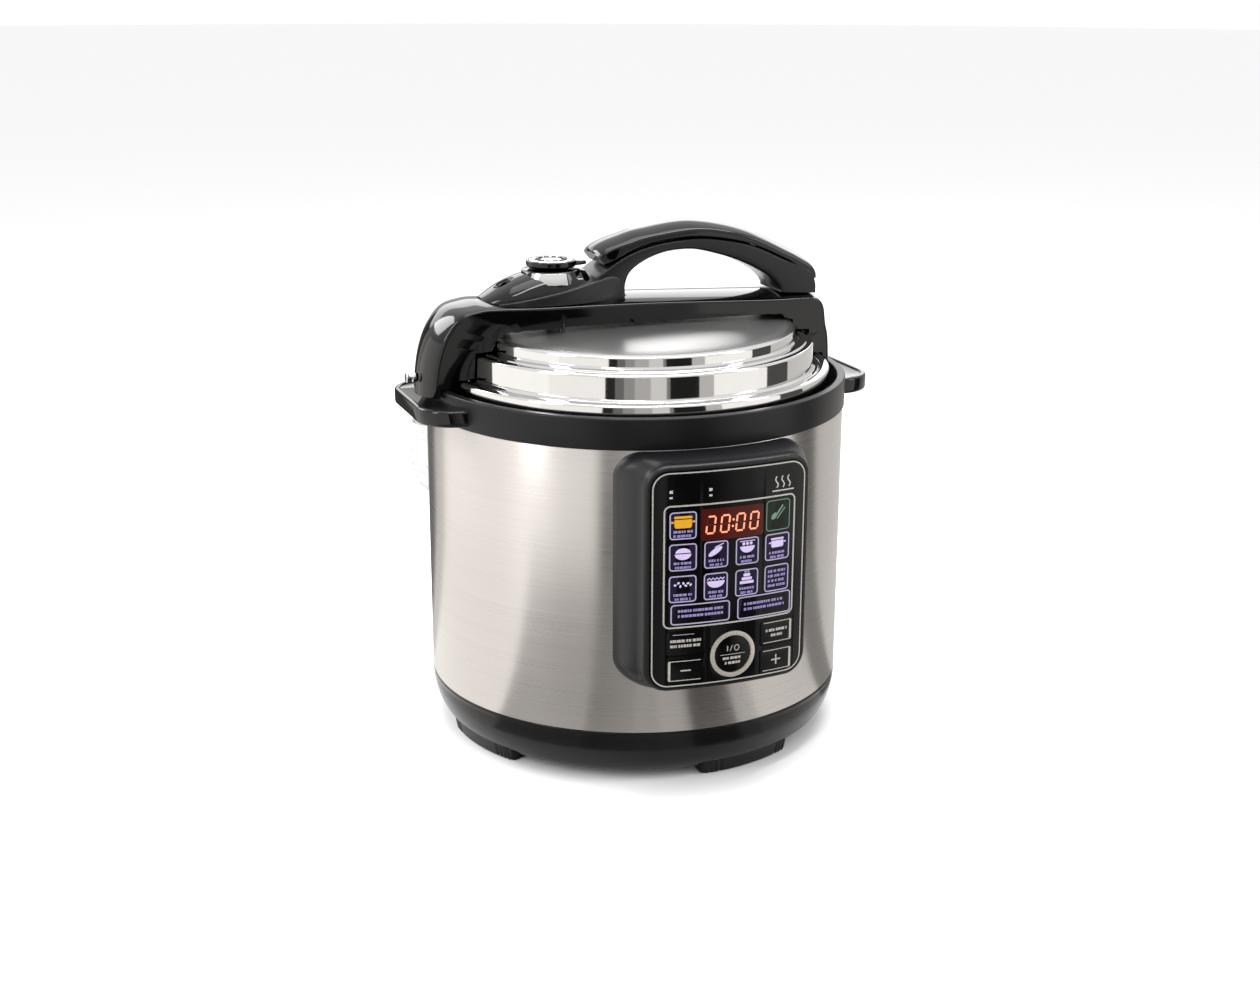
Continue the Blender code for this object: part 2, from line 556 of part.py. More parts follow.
def build_panel(black, gloss, steel, red, green, dark, white):
    count, edge = 3, 6
    corner = PANEL_CORNER

    def ring(half, low, high, rad, y_of):
        return [(u, y_of(u), v) for u, v in rounded_box(half, low, high, rad, count, edge)]

    hold = PANEL_HALF + KEY_GAP
    low, high = PANEL_LOW - KEY_GAP, PANEL_HIGH + KEY_GAP
    middle_y = lambda x: 0.45 * shell_y(x) + 0.55 * face_y(x)
    rings = [ring(BOX_HALF, BOX_LOW, BOX_HIGH, corner + 5 * MM, shell_y),
             ring(BOX_HALF - 1 * MM, BOX_LOW + 0.5 * MM, BOX_HIGH, corner + 5 * MM, middle_y),
             ring(hold + 3.4 * MM, low - 2.2 * MM, high + 3 * MM, corner + 4 * MM,
                  lambda x: face_y(x, 1.6 * MM)),
             ring(hold + 1.2 * MM, low - 1.2 * MM, high + 1.2 * MM, corner + 1 * MM,
                  lambda x: face_y(x, 0.2 * MM)),
             ring(hold, low, high, corner, lambda x: face_y(x, 0.3 * MM)),
             ring(hold, low, high, corner, lambda x: face_y(x, FASCIA_T + 2 * GAP)),
             ring(hold - LEDGE, low + LEDGE, high - LEDGE, corner - LEDGE,
                  lambda x: face_y(x, FASCIA_T + 2 * GAP)),
             ring(hold - LEDGE, low + LEDGE, high - LEDGE, corner - LEDGE,
                  lambda x: face_y(x, FASCIA_T + 3 * MM)),
             ring(BOX_HALF - BOX_WALL, BOX_LOW + BOX_WALL, BOX_HIGH - BOX_WALL, corner + 3 * MM,
                  shell_y)]
    make("control_housing", ring_mesh(rings, closed=True), black)

    plate = rounded_box(PANEL_HALF, PANEL_LOW, PANEL_HIGH, corner - KEY_GAP, count, edge)
    fascia = panel_piece("fascia", plate, 0, FASCIA_T, gloss)
    u, v, half, tall = DISPLAY
    deep, near = face_y(0, FASCIA_T) + 20 * MM, face_y(0) - 8 * MM
    holes = [[(u + a, v + b) for a, b in rounded_box(half + GAP, -tall - GAP, tall + GAP, 1.5 * MM, 2)]]
    for name, (outline, centre) in key_outlines().items():
        if name == "key_power":
            holes.append(circle(14.6 * MM + GAP, centre, 24))
        else:
            holes.append(grown(outline, centre, KEY_GAP))
    for hole in holes:
        boolean(fascia, cutter(prism_mesh(hole, near, deep, "Y"), "panel_hole"))
    window = [(u + a, v + b) for a, b in rounded_box(half, -tall, tall, 1.5 * MM, 2)]
    panel_piece("display_window", window, 0.1 * MM, FASCIA_T, red)
    centre = key_outlines()["key_power"][1]
    ring_piece = panel_piece("power_key_ring", circle(14.6 * MM, centre, 24), -0.3 * MM, FASCIA_T,
                             steel)
    boolean(ring_piece, cutter(prism_mesh(circle(11 * MM, centre, 24), near, deep, "Y"), "bore"))

    board_front = BOARD_Y - BOARD_T
    board = prism_mesh(rectangle(-44 * MM, PANEL_LOW + 6 * MM, 44 * MM, PANEL_HIGH - 6 * MM),
                       board_front, BOARD_Y, "Y")
    board = make("control_board", board, green, smooth=False)
    screen = rectangle(u - half + MM, v - tall + MM, u + half - MM, v + tall - MM)
    make("display_module", prism_mesh(screen, face_y(half, FASCIA_T) + MM, board_front - GAP, "Y"),
         dark, smooth=False)
    front, back = face_y(38 * MM, FASCIA_T) + MM, board_front - GAP
    guide = make("light_guide", prism_mesh(rectangle(-38 * MM, 129 * MM, 38 * MM, 163 * MM), front,
                                           back, "Y"), white, smooth=False)
    for b in (154.5 * MM, 137.5 * MM):
        for a in (-29 * MM, -9.7 * MM, 9.7 * MM, 29 * MM):
            cell = rectangle(a - 7 * MM, b - 6.5 * MM, a + 7 * MM, b + 6.5 * MM)
            boolean(guide, cutter(prism_mesh(cell, front - MM, back + MM, "Y"), "light_cell"))

    for name, (outline, (a, b)) in key_outlines().items():
        origin = (a, face_y(a), b)
        cap = panel_piece(name, outline, 0.2 * MM, FASCIA_T + 1 * MM, black, origin)
        stem_back = board_front - 3.2 * MM
        stem = prism_mesh(rectangle(a - 2.5 * MM, b - 2.5 * MM, a + 2.5 * MM, b + 2.5 * MM),
                          face_y(a, 2.5 * MM), stem_back, "Y")
        fuse(cap, stem, "key_stem")
        fuse(board, prism_mesh(rectangle(a - 3 * MM, b - 3 * MM, a + 3 * MM, b + 3 * MM),
                               stem_back + KEY_TRAVEL + GAP, board_front + BOARD_T / 2, "Y"),
             "key_switch")


# ---- back of the body ---------------------------------------------------------------------------
def build_inlet(black, steel):
    outline = rounded_box(INLET_HALF, INLET_LOW, INLET_HIGH, 6 * MM, 4)
    inlet = make("power_inlet", prism_mesh(outline, BODY_R - 16 * MM, INLET_REACH, "Y"), black)
    soften(inlet, 1.5 * MM)
    body = cutter(turned_mesh([(0, INLET_LOW - 9 * MM), (BODY_R + GAP, INLET_LOW - 9 * MM),
                               (BODY_R + GAP, INLET_HIGH + 9 * MM), (0, INLET_HIGH + 9 * MM)],
                              steps=96), "body_space")
    boolean(inlet, body)
    mid = (INLET_LOW + INLET_HIGH) / 2
    hole = rounded_box(SOCKET_HALF, mid - SOCKET_HIGH / 2, mid + SOCKET_HIGH / 2, 3 * MM, 3)
    boolean(inlet, cutter(prism_mesh(hole, INLET_REACH - SOCKET_DEPTH, INLET_REACH + 9 * MM, "Y"),
                          "socket"))
    start = INLET_REACH - SOCKET_DEPTH + GAP
    plate = rectangle(-SOCKET_HALF + MM, mid - SOCKET_HIGH / 2 + MM,
                      SOCKET_HALF - MM, mid + SOCKET_HIGH / 2 - MM)
    contacts = make("inlet_contacts", prism_mesh(plate, start, start + 2 * MM, "Y"), steel,
                    smooth=False)
    for u, v in ((-7 * MM, -2 * MM), (0, 3 * MM), (7 * MM, -2 * MM)):
        pin = rectangle(u - 1 * MM, mid + v - 2 * MM, u + 1 * MM, mid + v + 2 * MM)
        fuse(contacts, prism_mesh(pin, start + MM, start + 12 * MM, "Y"), "pin")


def cup_rings(inset):
    """Rings of the condensation cup, bottom to top, in a frame whose +X points away from the body."""
    wall = BODY_R + BRACKET_T + 2 * GAP
    rings = []
    low = CUP_LOW + inset
    for share in (0.0, 0.1, 0.35, 1.0):
        z = low + (24 * MM) * share
        bulge = math.sqrt(max(0.0, 1 - (1 - share) ** 2))
        rings.append((z, 0.25 + 0.75 * bulge))
    rings.append((CUP_HIGH, 1.0))
    out = []
    for z, size in rings:
        depth = (CUP_REACH - wall - 2 * inset) * size
        half = (CUP_HALF - inset) * (0.35 + 0.65 * size)
        ring = []
        for i in range(11):
            a = math.radians(-90 + 18 * i)
            ring.append((wall + inset + depth * max(0.0, math.cos(a)) ** 0.6, half * math.sin(a), z))
        out.append(ring)
    return out


def build_cup(black, clear):
    outer, inner = cup_rings(0), cup_rings(CUP_WALL)
    wall = BODY_R + BRACKET_T + 2 * GAP
    bm = ring_mesh(outer + inner[::-1])
    bm.transform(around(CUP_ANGLE))
    way = around(CUP_ANGLE) @ Vector((wall, 0, 0))
    make("condensation_cup", bm, clear, (way.x, way.y, CUP_LOW))

    half = CUP_HALF - 4 * MM
    span = math.degrees(math.asin(half / BODY_R))
    rim = [(BODY_R + GAP, CUP_LOW + 8 * MM), (BODY_R + BRACKET_T, CUP_LOW + 8 * MM),
           (BODY_R + BRACKET_T, CUP_HIGH + 6 * MM), (BODY_R + GAP, CUP_HIGH + 6 * MM)]
    bracket = turned("cup_bracket", rim, black, steps=8, first=CUP_ANGLE - span, turn=2 * span)
    keep = cutter(prism_mesh(rectangle(wall - GAP, -2 * CUP_HALF, wall + BODY_R, 2 * CUP_HALF),
                             CUP_LOW, CUP_HIGH + 9 * MM), "cup_space")
    keep.rotation_euler = (0, 0, math.radians(CUP_ANGLE))
    boolean(bracket, keep)


# ---- pot and lid --------------------------------------------------------------------------------
def build_pot(pot_metal, rubber):
    inner = POT_R - POT_WALL
    turn = 12 * MM
    turned("inner_pot", [(0, POT_FLOOR), (POT_R - turn, POT_FLOOR),
                               (POT_R - 3 * MM, POT_FLOOR + 3 * MM), (POT_R, POT_FLOOR + turn),
                               (POT_R, POT_RIM_TOP - POT_WALL - 1 * MM),
                               (POT_RIM_R, POT_RIM_TOP - POT_WALL), (POT_RIM_R, POT_RIM_TOP),
                               (inner, POT_RIM_TOP), (inner, POT_FLOOR + turn),
                               (inner - 3 * MM, POT_FLOOR + 3 * MM + POT_WALL),
                               (POT_R - turn, POT_FLOOR + POT_WALL), (0, POT_FLOOR + POT_WALL)],
                 pot_metal)
    low, high = SEAL_LOW, PAN_TOP - PAN_WALL - GAP
    turned("sealing_ring", [(SEAL_IN, low + 3 * MM), (SEAL_IN + 3 * MM, low),
                                   (POT_RIM_R - 1 * MM, low), (POT_RIM_R, low + 1.5 * MM),
                                   (POT_RIM_R, high), (SEAL_IN + 3 * MM, high),
                                   (SEAL_IN + 3 * MM, low + 5 * MM), (SEAL_IN, low + 5 * MM)], rubber)


def lid_profile(grow=0.0):
    """The lid's outer surface from its centre to its rim, moved outwards by grow."""
    g = grow
    return [(0, LID_TOP_Z + LID_CROWN + g), (LID_TOP_R * 0.6, LID_TOP_Z + LID_CROWN * 0.65 + g),
            (LID_TOP_R - 4 * MM, LID_TOP_Z - 0.4 * MM + g), (LID_TOP_R + g, LID_TOP_Z - 3.4 * MM),
            (LID_TOP_R + g, LID_STEP_Z + 1 * MM + g), (LID_STEP_R - 3 * MM, LID_STEP_Z + g),
            (LID_STEP_R + g, LID_STEP_Z - 2.5 * MM), (LID_STEP_R + g, LID_RIM_LOW + 9 * MM + g),
            (LID_RIM_R - 4 * MM, LID_RIM_LOW + 8.6 * MM + g), (LID_RIM_R + g, LID_RIM_LOW + 5 * MM),
            (LID_RIM_R + g, LID_RIM_LOW)]


def build_lid(polished, steel, rubber):
    t = LID_WALL
    outer = lid_profile()
    inner = [(max(0, r - (t if r else 0)), z - t) for r, z in outer[:-1]]
    inner[3] = (LID_TOP_R - t, LID_TOP_Z - 4 * MM)
    inner[4] = (LID_TOP_R - t, LID_STEP_Z)
    inner[7] = (LID_STEP_R - t, LID_RIM_LOW + 8 * MM)
    inner.append((LID_RIM_R - t, LID_RIM_LOW))
    skin = turned("lid_skin", outer + inner[::-1], polished)
    drill(skin, PIPE_R + 0.8 * MM, (VENT_X, 0), LID_STEP_Z, BEAM_TOP)
    drill(skin, FLOAT_R + 0.8 * MM, (FLOAT_X, 0), LID_STEP_Z, BEAM_TOP)

    low = PAN_TOP - PAN_WALL
    pan = turned("lid_pan", [(0, low), (SKIRT_R - PAN_WALL, low), (SKIRT_R - PAN_WALL, SKIRT_LOW),
                             (SKIRT_R, SKIRT_LOW), (SKIRT_R, PAN_TOP), (0, PAN_TOP)], steel)
    drill(pan, PIPE_R + GAP, (VENT_X, 0), low - MM, PAN_TOP + MM)
    drill(pan, FLOAT_R + 0.8 * MM, (FLOAT_X, 0), low - MM, PAN_TOP + MM)
    lug_low, lug_high = FLANGE_Z - 2.8 * MM, FLANGE_Z - 0.5 * MM
    for k in range(TEETH):
        lug = turned_mesh([(FLANGE_R + 0.4 * MM, lug_low), (SKIRT_R - 0.4 * MM, lug_low),
                           (SKIRT_R - 0.4 * MM, lug_high), (FLANGE_R + 0.4 * MM, lug_high)],
                          steps=3, first=360 / TEETH * k - 9, turn=18)
        fuse(pan, lug, "lug")

    rack_top = low - 4 * MM
    rack = turned("seal_rack", [(0, rack_top - PAN_WALL), (SEAL_IN - TURN_GAP, rack_top - PAN_WALL),
                                (SEAL_IN - TURN_GAP, rack_top), (0, rack_top)], steel)
    drill(rack, 13 * MM, (VENT_X, 0), rack_top - 2 * MM, rack_top + MM)
    drill(rack, 9 * MM, (FLOAT_X, 0), rack_top - 2 * MM, rack_top + MM)
    drill(rack, 3.6 * MM, (0, 0), rack_top - 2 * MM, rack_top + MM)
    fuse(pan, turned_mesh([(0, rack_top - 6 * MM), (6 * MM, rack_top - 6 * MM),
                           (6 * MM, rack_top - PAN_WALL - GAP), (3.2 * MM, rack_top - PAN_WALL - GAP),
                           (3.2 * MM, low + GAP), (0, low + GAP)], steps=SMALL_STEPS), "rack_stud")

    bore = 1.5 * MM
    pipe_top = DIAL_Z - 3 * MM
    pipe_low = low - 6 * MM
    turned("vent_pipe", [(bore, pipe_low), (PIPE_R, pipe_low), (PIPE_R, pipe_top), (bore, pipe_top)],
           steel, steps=SMALL_STEPS, centre=(VENT_X, 0))
    shield_r = 11 * MM
    turned("anti_block_shield", [(0, low - 14 * MM), (shield_r, low - 14 * MM),
                                 (shield_r, low - GAP), (shield_r - 1 * MM, low - GAP),
                                 (shield_r - 1 * MM, low - 13 * MM), (0, low - 13 * MM)],
           steel, steps=SMALL_STEPS, centre=(VENT_X, 0))
    head = low - FLOAT_TRAVEL - GAP
    valve_low = head - 2.5 * MM
    turned("float_valve", [(0, valve_low), (5.5 * MM, valve_low), (5.5 * MM, head),
                                   (FLOAT_R, head), (FLOAT_R, BEAM_TOP + 2 * MM),
                                   (0, BEAM_TOP + 2 * MM)], steel, steps=SMALL_STEPS,
                   centre=(FLOAT_X, 0), origin=(FLOAT_X, 0, head))
    turned("float_gasket", [(FLOAT_R + GAP, PAN_TOP + GAP), (6.5 * MM, PAN_TOP + GAP),
                                     (6.5 * MM, PAN_TOP + 3 * MM), (FLOAT_R + GAP, PAN_TOP + 3 * MM)],
           rubber, steps=SMALL_STEPS, centre=(FLOAT_X, 0))


def lid_clearance():
    """The space that the spine must leave for the lid and for the collar's top edge."""
    grown_lid = lid_profile(1.2 * MM)
    top = BEAM_LOW
    grown_lid[0] = (0, top)
    grown_lid[1] = (LID_TOP_R - 6 * MM, top)
    grown_lid[2] = (LID_TOP_R - 4 * MM, top)
    over = COLLAR_TOP + 1 * MM
    grown_lid[-1] = (LID_RIM_R + 1.2 * MM, over)
    return cutter(turned_mesh(grown_lid + [(COLLAR_R + 1.2 * MM, over), (COLLAR_R + 1.2 * MM, 0),
                                           (0, 0)]), "lid_clearance")


def build_spine(gloss, black, steel):
    mm = 1 / MM
    top, reach, right, foot = BEAM_TOP * mm, BEAM_REACH * mm, BEAM_RIGHT * mm, BEAM_FOOT * mm
    half, crown, low = BEAM_HALF * mm, BEAM_CROWN * mm, BEAM_LOW * mm
    keys = [(-reach, foot, -120, foot, half - 4, 8), (-reach + 1.5, 250, -112, 244, half - 3, 8),
            (-reach + 8, 270, -100, 258, half - 2, 7), (-reach + 20, 282.5, -95, low - 1, half, 5),
            (-reach + 40, top + 1.2, -85, low - 1, half, crown), (-60, top + 1, -60, low - 1, half, crown),
            (0, top, 0, low - 1, half, crown), (50, top - 2, 50, low - 1, half, crown),
            (90, top - 5, 85, low - 1, half, crown), (118, 277.5, 95, low - 1, half - 1, 6),
            (right - 8, 270, 100, 258, half - 2, 8), (right - 2, 250, 110, 244, half - 3, 8),
            (right, foot + 1, 118, foot + 1, half - 4, 8)]
    beam = arch("spine_beam", keys, gloss)
    boolean(beam, lid_clearance())
    pocket = cutter(box_mesh((-30 * MM, 4 * MM - BEAM_HALF, LID_STEP_Z),
                             (88 * MM, BEAM_HALF - 4 * MM, BEAM_LOW + 5 * MM)), "pocket")
    boolean(beam, pocket)
    drill(beam, PIPE_R + 1 * MM, (VENT_X, 0), LID_STEP_Z, BEAM_TOP + 9 * MM)
    drill(beam, FLOAT_R + 1 * MM, (FLOAT_X, 0), LID_STEP_Z, BEAM_TOP + 9 * MM)

    rise = GRIP_TOP * mm
    wide = GRIP_HALF * mm
    seat = top + 0.5
    lower = [(-50, seat + 0.6, -12, seat, wide, 1), (-38, 295, -13, 293, wide, 1),
             (-27, 303.5, -8, 302, wide, 1), (-10, 313.5, 3, 309, wide, 1),
             (10, rise - 12, 17, 313.3, wide, 1), (36, rise - 9.8, 34, rise - 17.2, wide, 1),
             (73, rise - 15.5, 64, 305.5, wide, 1), (100, rise - 27, 84, 296, wide, 1),
             (117, 294, 95, 289, wide, 1), (122, 286, 98, 284.5, wide, 1),
             (122.5, seat - 5, 98, seat - 3, wide, 1)]
    arch("grip_lower", lower, black, across=2)
    upper = [(-31.5, 312, -25, 306.5, wide - 1, 2), (-27, 317, -17, 311, wide, 3),
             (-14, rise - 7.6, -9, 315, wide, 4), (4, rise - 3.4, 8, rise - 10.8, wide, 4),
             (38, rise, 37, rise - 8.6, wide, 4), (74, rise - 6.8, 72, rise - 14, wide, 4),
             (103, rise - 20, 98, rise - 25, wide, 4), (119, 302, 114, 297.5, wide, 3),
             (124, 297.5, 118.5, 295, wide - 1, 2)]
    arch("grip_upper", upper, gloss)
    under = BEAM_LOW + GAP
    for k, u in enumerate((-18 * MM, 78 * MM)):
        turned(f"grip_screw_{k + 1}", [(0, under), (3 * MM, under), (3 * MM, under + 1.8 * MM),
                                       (1.5 * MM, under + 2 * MM), (1.5 * MM, under + 4 * MM),
                                       (0, under + 4 * MM)], steel, steps=8, centre=(u, 0))
    pin_z = 241 * MM
    pin = turned_mesh([(0, 0), (3.2 * MM, 0), (3.2 * MM, 2 * MM), (2.4 * MM, 2.4 * MM),
                       (2.4 * MM, 4.5 * MM), (3.4 * MM, 5 * MM), (3.4 * MM, 6.2 * MM), (0, 6.2 * MM)],
                      steps=12)
    pin.transform(Matrix.Translation((-BEAM_REACH + 0.2 * MM, 0, pin_z))
                  @ Matrix.Rotation(math.radians(-90), 4, "Y"))
    make("lid_rest_pin", pin, gloss)


def build_vent(gloss, silver, black, steel):
    base = BEAM_TOP + 1.9 * MM + GAP
    keys = [(-104, 0.8, 10), (-98, 5, 16), (-90, 9.5, 20), (-80, 13.5, 22.5), (-70, 16.3, 23),
            (-57, 17, 23), (-47, 17, 22), (-40, 17, 20), (-35, 17, 18)]

    def seat(y):
        """Height of the fairing's underside, which follows the beam's crown."""
        return base - BEAM_CROWN * (y / BEAM_HALF) ** 2

    rings = []
    for x, height, half in smooth_through(keys, 2):
        ring = []
        for k in range(9):
            t = k / 4 - 1
            y = t * half * MM
            drop = height * (0.5 * t * t + 0.5 * t ** 6)
            ring.append((x * MM, y, max(base + (height - drop) * MM, seat(y) + 0.5 * MM)))
        ring += [(x * MM, t * half * MM, seat(t * half * MM)) for t in (1, 0.5, 0, -0.5, -1)]
        rings.append(ring)
    fairing = make("vent_fairing", ring_mesh(rings), gloss)
    slope = [(-24 * MM, base - 6 * MM), (-24 * MM, base + 25 * MM), (-29 * MM, base + 17 * MM),
             (-40 * MM, base + 8 * MM), (-51.5 * MM, base - 1 * MM), (-56 * MM, base - 6 * MM)]
    boolean(fairing, cutter(prism_mesh(slope, -2 * BEAM_HALF, 2 * BEAM_HALF, "Y"), "grip_space"))
    drill(fairing, PIPE_R + 4 * MM, (VENT_X, 0), base - 2 * MM, DIAL_Z + 9 * MM)
    drill(fairing, FLOAT_R + 1.6 * MM, (FLOAT_X, 0), base - 2 * MM, DIAL_Z)

    band_low, band_high = base + 9.5 * MM, base + 16 * MM
    band = [(DIAL_R + 5.2 * MM, band_low), (DIAL_R + 6.2 * MM, band_low),
            (DIAL_R + 3.2 * MM, band_high), (DIAL_R + 2.2 * MM, band_high)]
    turned("vent_label", band, silver, steps=10, centre=(VENT_X, 0), first=-140, turn=60)
    seat_edge = [(band[0][0] - GAP, band_low - GAP), (band[3][0] - GAP, band_high + GAP),
                 (3 * DIAL_R, band_high + GAP), (3 * DIAL_R, band_low - GAP)]
    space = turned_mesh(seat_edge, steps=12, centre=(VENT_X, 0), first=-142, turn=64)
    boolean(fairing, cutter(space, "label_space"))

    origin = (VENT_X, 0, DIAL_Z)
    rim = DIAL_Z + DIAL_T
    dial = turned("vent_dial", [(PIPE_R + 1 * MM, DIAL_Z), (DIAL_R - 1 * MM, DIAL_Z),
                                (DIAL_R, DIAL_Z + 1 * MM), (DIAL_R, rim), (DIAL_R - 1.5 * MM, rim),
                                (DIAL_R - 1.5 * MM, rim - 1 * MM), (PIPE_R + 1 * MM, rim - 1 * MM)],
                  black, origin, steps=28, centre=(VENT_X, 0))
    arm = prism_mesh(rectangle(VENT_X + DIAL_R - 2 * MM, -3 * MM, VENT_X + DIAL_R + 7 * MM, 3 * MM),
                     DIAL_Z, DIAL_Z + 3 * MM)
    fuse(dial, arm, "lever")
    turned("dial_plate", [(0, rim - 1 * MM + GAP), (DIAL_R - 1.5 * MM - GAP, rim - 1 * MM + GAP),
                                  (DIAL_R - 2 * MM, rim + 0.4 * MM), (0, rim + 0.6 * MM)],
                   silver, origin, steps=28, centre=(VENT_X, 0))
    turned("vent_weight", [(0, DIAL_Z - 2.6 * MM), (PIPE_R - 0.5 * MM, DIAL_Z - 2.6 * MM),
                                    (PIPE_R + 0.6 * MM, DIAL_Z), (PIPE_R + 0.6 * MM, rim - 1 * MM),
                                    (0, rim - 1 * MM)],
           steel, origin, steps=SMALL_STEPS, centre=(VENT_X, 0))


def parent_to(label, point, children):
    """An empty on the joint's axis that carries the pieces of one moving body."""
    pivot = bpy.data.objects.new(label, None)
    pivot.location = point
    bpy.context.collection.objects.link(pivot)
    for child in children:
        child.parent = pivot
        child.matrix_parent_inverse = Matrix.Translation(-Vector(point))
    return pivot


def main():
    clear_scene()
    satin = finish("satin black plastic", 0x1C1B1D, 0.42)
    gloss = finish("gloss black plastic", 0x0C0C0D, 0.12)
    brushed = finish("brushed stainless steel", 0xC9C6C2, 0.32, 1.0)
    polished = finish("polished stainless steel", 0xDEDEDE, 0.08, 1.0)
    plain = finish("stainless steel", 0xB9B9B9, 0.3, 1.0)
    aluminium = finish("cast aluminium", 0xA9ACAE, 0.5, 1.0)
    coated = finish("non-stick coating", 0x2B2B2E, 0.35, 0.2)
    rubber = finish("silicone rubber", 0xD9D6CF, 0.6)
    clear = finish("translucent white plastic", 0xE6E8EA, 0.25)
    red = finish("red display window", 0x3A0B08, 0.1)
    green = finish("circuit board", 0x1F5A36, 0.5)
    brass = finish("brass", 0xB89A55, 0.3, 1.0)
    white = finish("white plastic", 0xE8E6E0, 0.5)

    build_base(satin, plain)
    build_shell(brushed)
    build_collar(satin)
    build_liner(plain, aluminium)
    build_sensor(plain, brass)
    build_electrics(green, satin, plain, white)
    build_panel(satin, gloss, plain, red, green, satin, white)
    build_inlet(satin, brass)
    build_cup(satin, clear)
    build_pot(coated, rubber)
    build_lid(polished, plain, rubber)
    build_spine(gloss, satin, plain)
    build_vent(gloss, polished, satin, plain)

    bodies = {"pot_axis": ["inner_pot"], "seal_axis": ["sealing_ring"],
              "lid_axis": ["lid_skin", "lid_pan", "seal_rack", "vent_pipe",
                           "anti_block_shield", "float_gasket", "spine_beam", "grip_lower",
                           "grip_upper", "grip_screw_1", "grip_screw_2", "lid_rest_pin",
                           "vent_fairing", "vent_label"]}
    for label, names in bodies.items():
        parent_to(label, (0, 0, 0), [bpy.data.objects[n] for n in names])


main()
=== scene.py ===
"""Electric pressure cooker: the looks of the pot, its lid, its control panel and its studio.

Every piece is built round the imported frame, in metres, with +Z up and the control panel facing -Y.
"""
import math
import random
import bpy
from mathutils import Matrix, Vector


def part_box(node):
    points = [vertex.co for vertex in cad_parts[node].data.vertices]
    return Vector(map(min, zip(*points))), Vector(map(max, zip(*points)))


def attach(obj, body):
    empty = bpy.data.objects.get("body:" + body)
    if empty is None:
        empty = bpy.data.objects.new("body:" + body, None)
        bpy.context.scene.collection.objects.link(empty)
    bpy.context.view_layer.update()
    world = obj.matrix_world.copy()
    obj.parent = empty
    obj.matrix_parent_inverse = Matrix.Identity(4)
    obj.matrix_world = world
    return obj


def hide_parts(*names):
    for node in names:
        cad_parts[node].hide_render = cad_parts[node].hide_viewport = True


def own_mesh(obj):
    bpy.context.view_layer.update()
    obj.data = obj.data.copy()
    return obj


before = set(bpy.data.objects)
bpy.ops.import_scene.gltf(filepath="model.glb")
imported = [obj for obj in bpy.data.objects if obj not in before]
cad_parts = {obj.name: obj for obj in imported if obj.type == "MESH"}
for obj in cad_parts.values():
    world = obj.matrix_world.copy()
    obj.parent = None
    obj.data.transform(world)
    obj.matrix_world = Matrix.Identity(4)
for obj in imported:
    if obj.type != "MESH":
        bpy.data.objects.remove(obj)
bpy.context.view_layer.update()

from types import SimpleNamespace

import bmesh
import bpy
from bpy.props import FloatProperty, IntProperty, PointerProperty, StringProperty
from mathutils import Matrix, Quaternion, Vector

bl_info = {
    "name": "Electric pressure cooker",
    "version": (1, 0, 0),
    "blender": (4, 5, 0),
    "location": "3D View > Sidebar > Cooker",
    "description": "Builds the visible pieces of an electric pressure cooker round its packed frame",
    "category": "Object",
}

MM = 0.001                     # shapes are drawn in millimetres, and solid() turns them to metres
WELD = 0.002                   # points closer than this are one point
CLEAR = 0.3                    # gap that touching pieces keep


def box(node):
    """The low and high corners of a node of the frame, in millimetres."""
    return [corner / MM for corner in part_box(node)]


def low(node):
    return box(node)[0]


def high(node):
    return box(node)[1]


# ---- places that the frame gives ----------------------------------------------------------------
BODY_R = high("outer_shell").x
STEEL_LOW = low("outer_shell").z
STEEL_HIGH = high("outer_shell").z
BASE_FLAT = low("base_pan").z
COLLAR_R = high("top_collar").y
COLLAR_TOP = high("top_collar").z
HANDLE_TIP = high("top_collar").x
SPIGOT_LOW = low("top_collar").z
LINER_R = high("pressure_liner").x
LINER_LOW = low("pressure_liner").z
FLANGE_LOW, FLANGE_HIGH = low("bayonet_flange").z, high("bayonet_flange").z
FLANGE_R = high("bayonet_flange").x
POT_RIM_R, POT_RIM_TOP = high("inner_pot").x, high("inner_pot").z
POT_FLOOR = low("inner_pot").z
PLATE_R = high("heater_plate").x
SEAL_LOW, SEAL_HIGH = low("sealing_ring").z, high("sealing_ring").z
LID_R = high("lid_skin").x
LID_LOW, LID_HIGH = low("lid_skin").z, high("lid_skin").z
SKIRT_R = high("lid_pan").x
SKIRT_LOW, PAN_TOP = low("lid_pan").z, high("lid_pan").z
PANEL_HALF = high("fascia").x
PANEL_LOW, PANEL_HIGH = low("fascia").z, high("fascia").z
PANEL_REACH = -low("fascia").y
BOX_HALF = high("control_housing").x
BOX_LOW, BOX_HIGH = low("control_housing").z, high("control_housing").z
VENT_X = (low("vent_pipe").x + high("vent_pipe").x) / 2
FLOAT_X = (low("float_valve").x + high("float_valve").x) / 2
DIAL_R = high("vent_dial").y
DIAL_LOW, DIAL_HIGH = low("vent_dial").z, high("vent_dial").z
BEAM_LEFT, BEAM_RIGHT = low("spine_beam").x, high("spine_beam").x
BEAM_HALF = high("spine_beam").y
BEAM_FOOT = low("spine_beam").z
GRIP_HALF = high("grip_lower").y
GRIP_TOP = high("grip_upper").z
CUP_LOW, CUP_HIGH = low("condensation_cup").z, high("condensation_cup").z


# ---- sizes and colours that a user may change ---------------------------------------------------
def length(label, about, value):
    return FloatProperty(name=label, description=about, default=value, unit="LENGTH", precision=5)


def tint(label, about, value):
    return StringProperty(name=label, description=about + ", as sRGB hex", default=value)


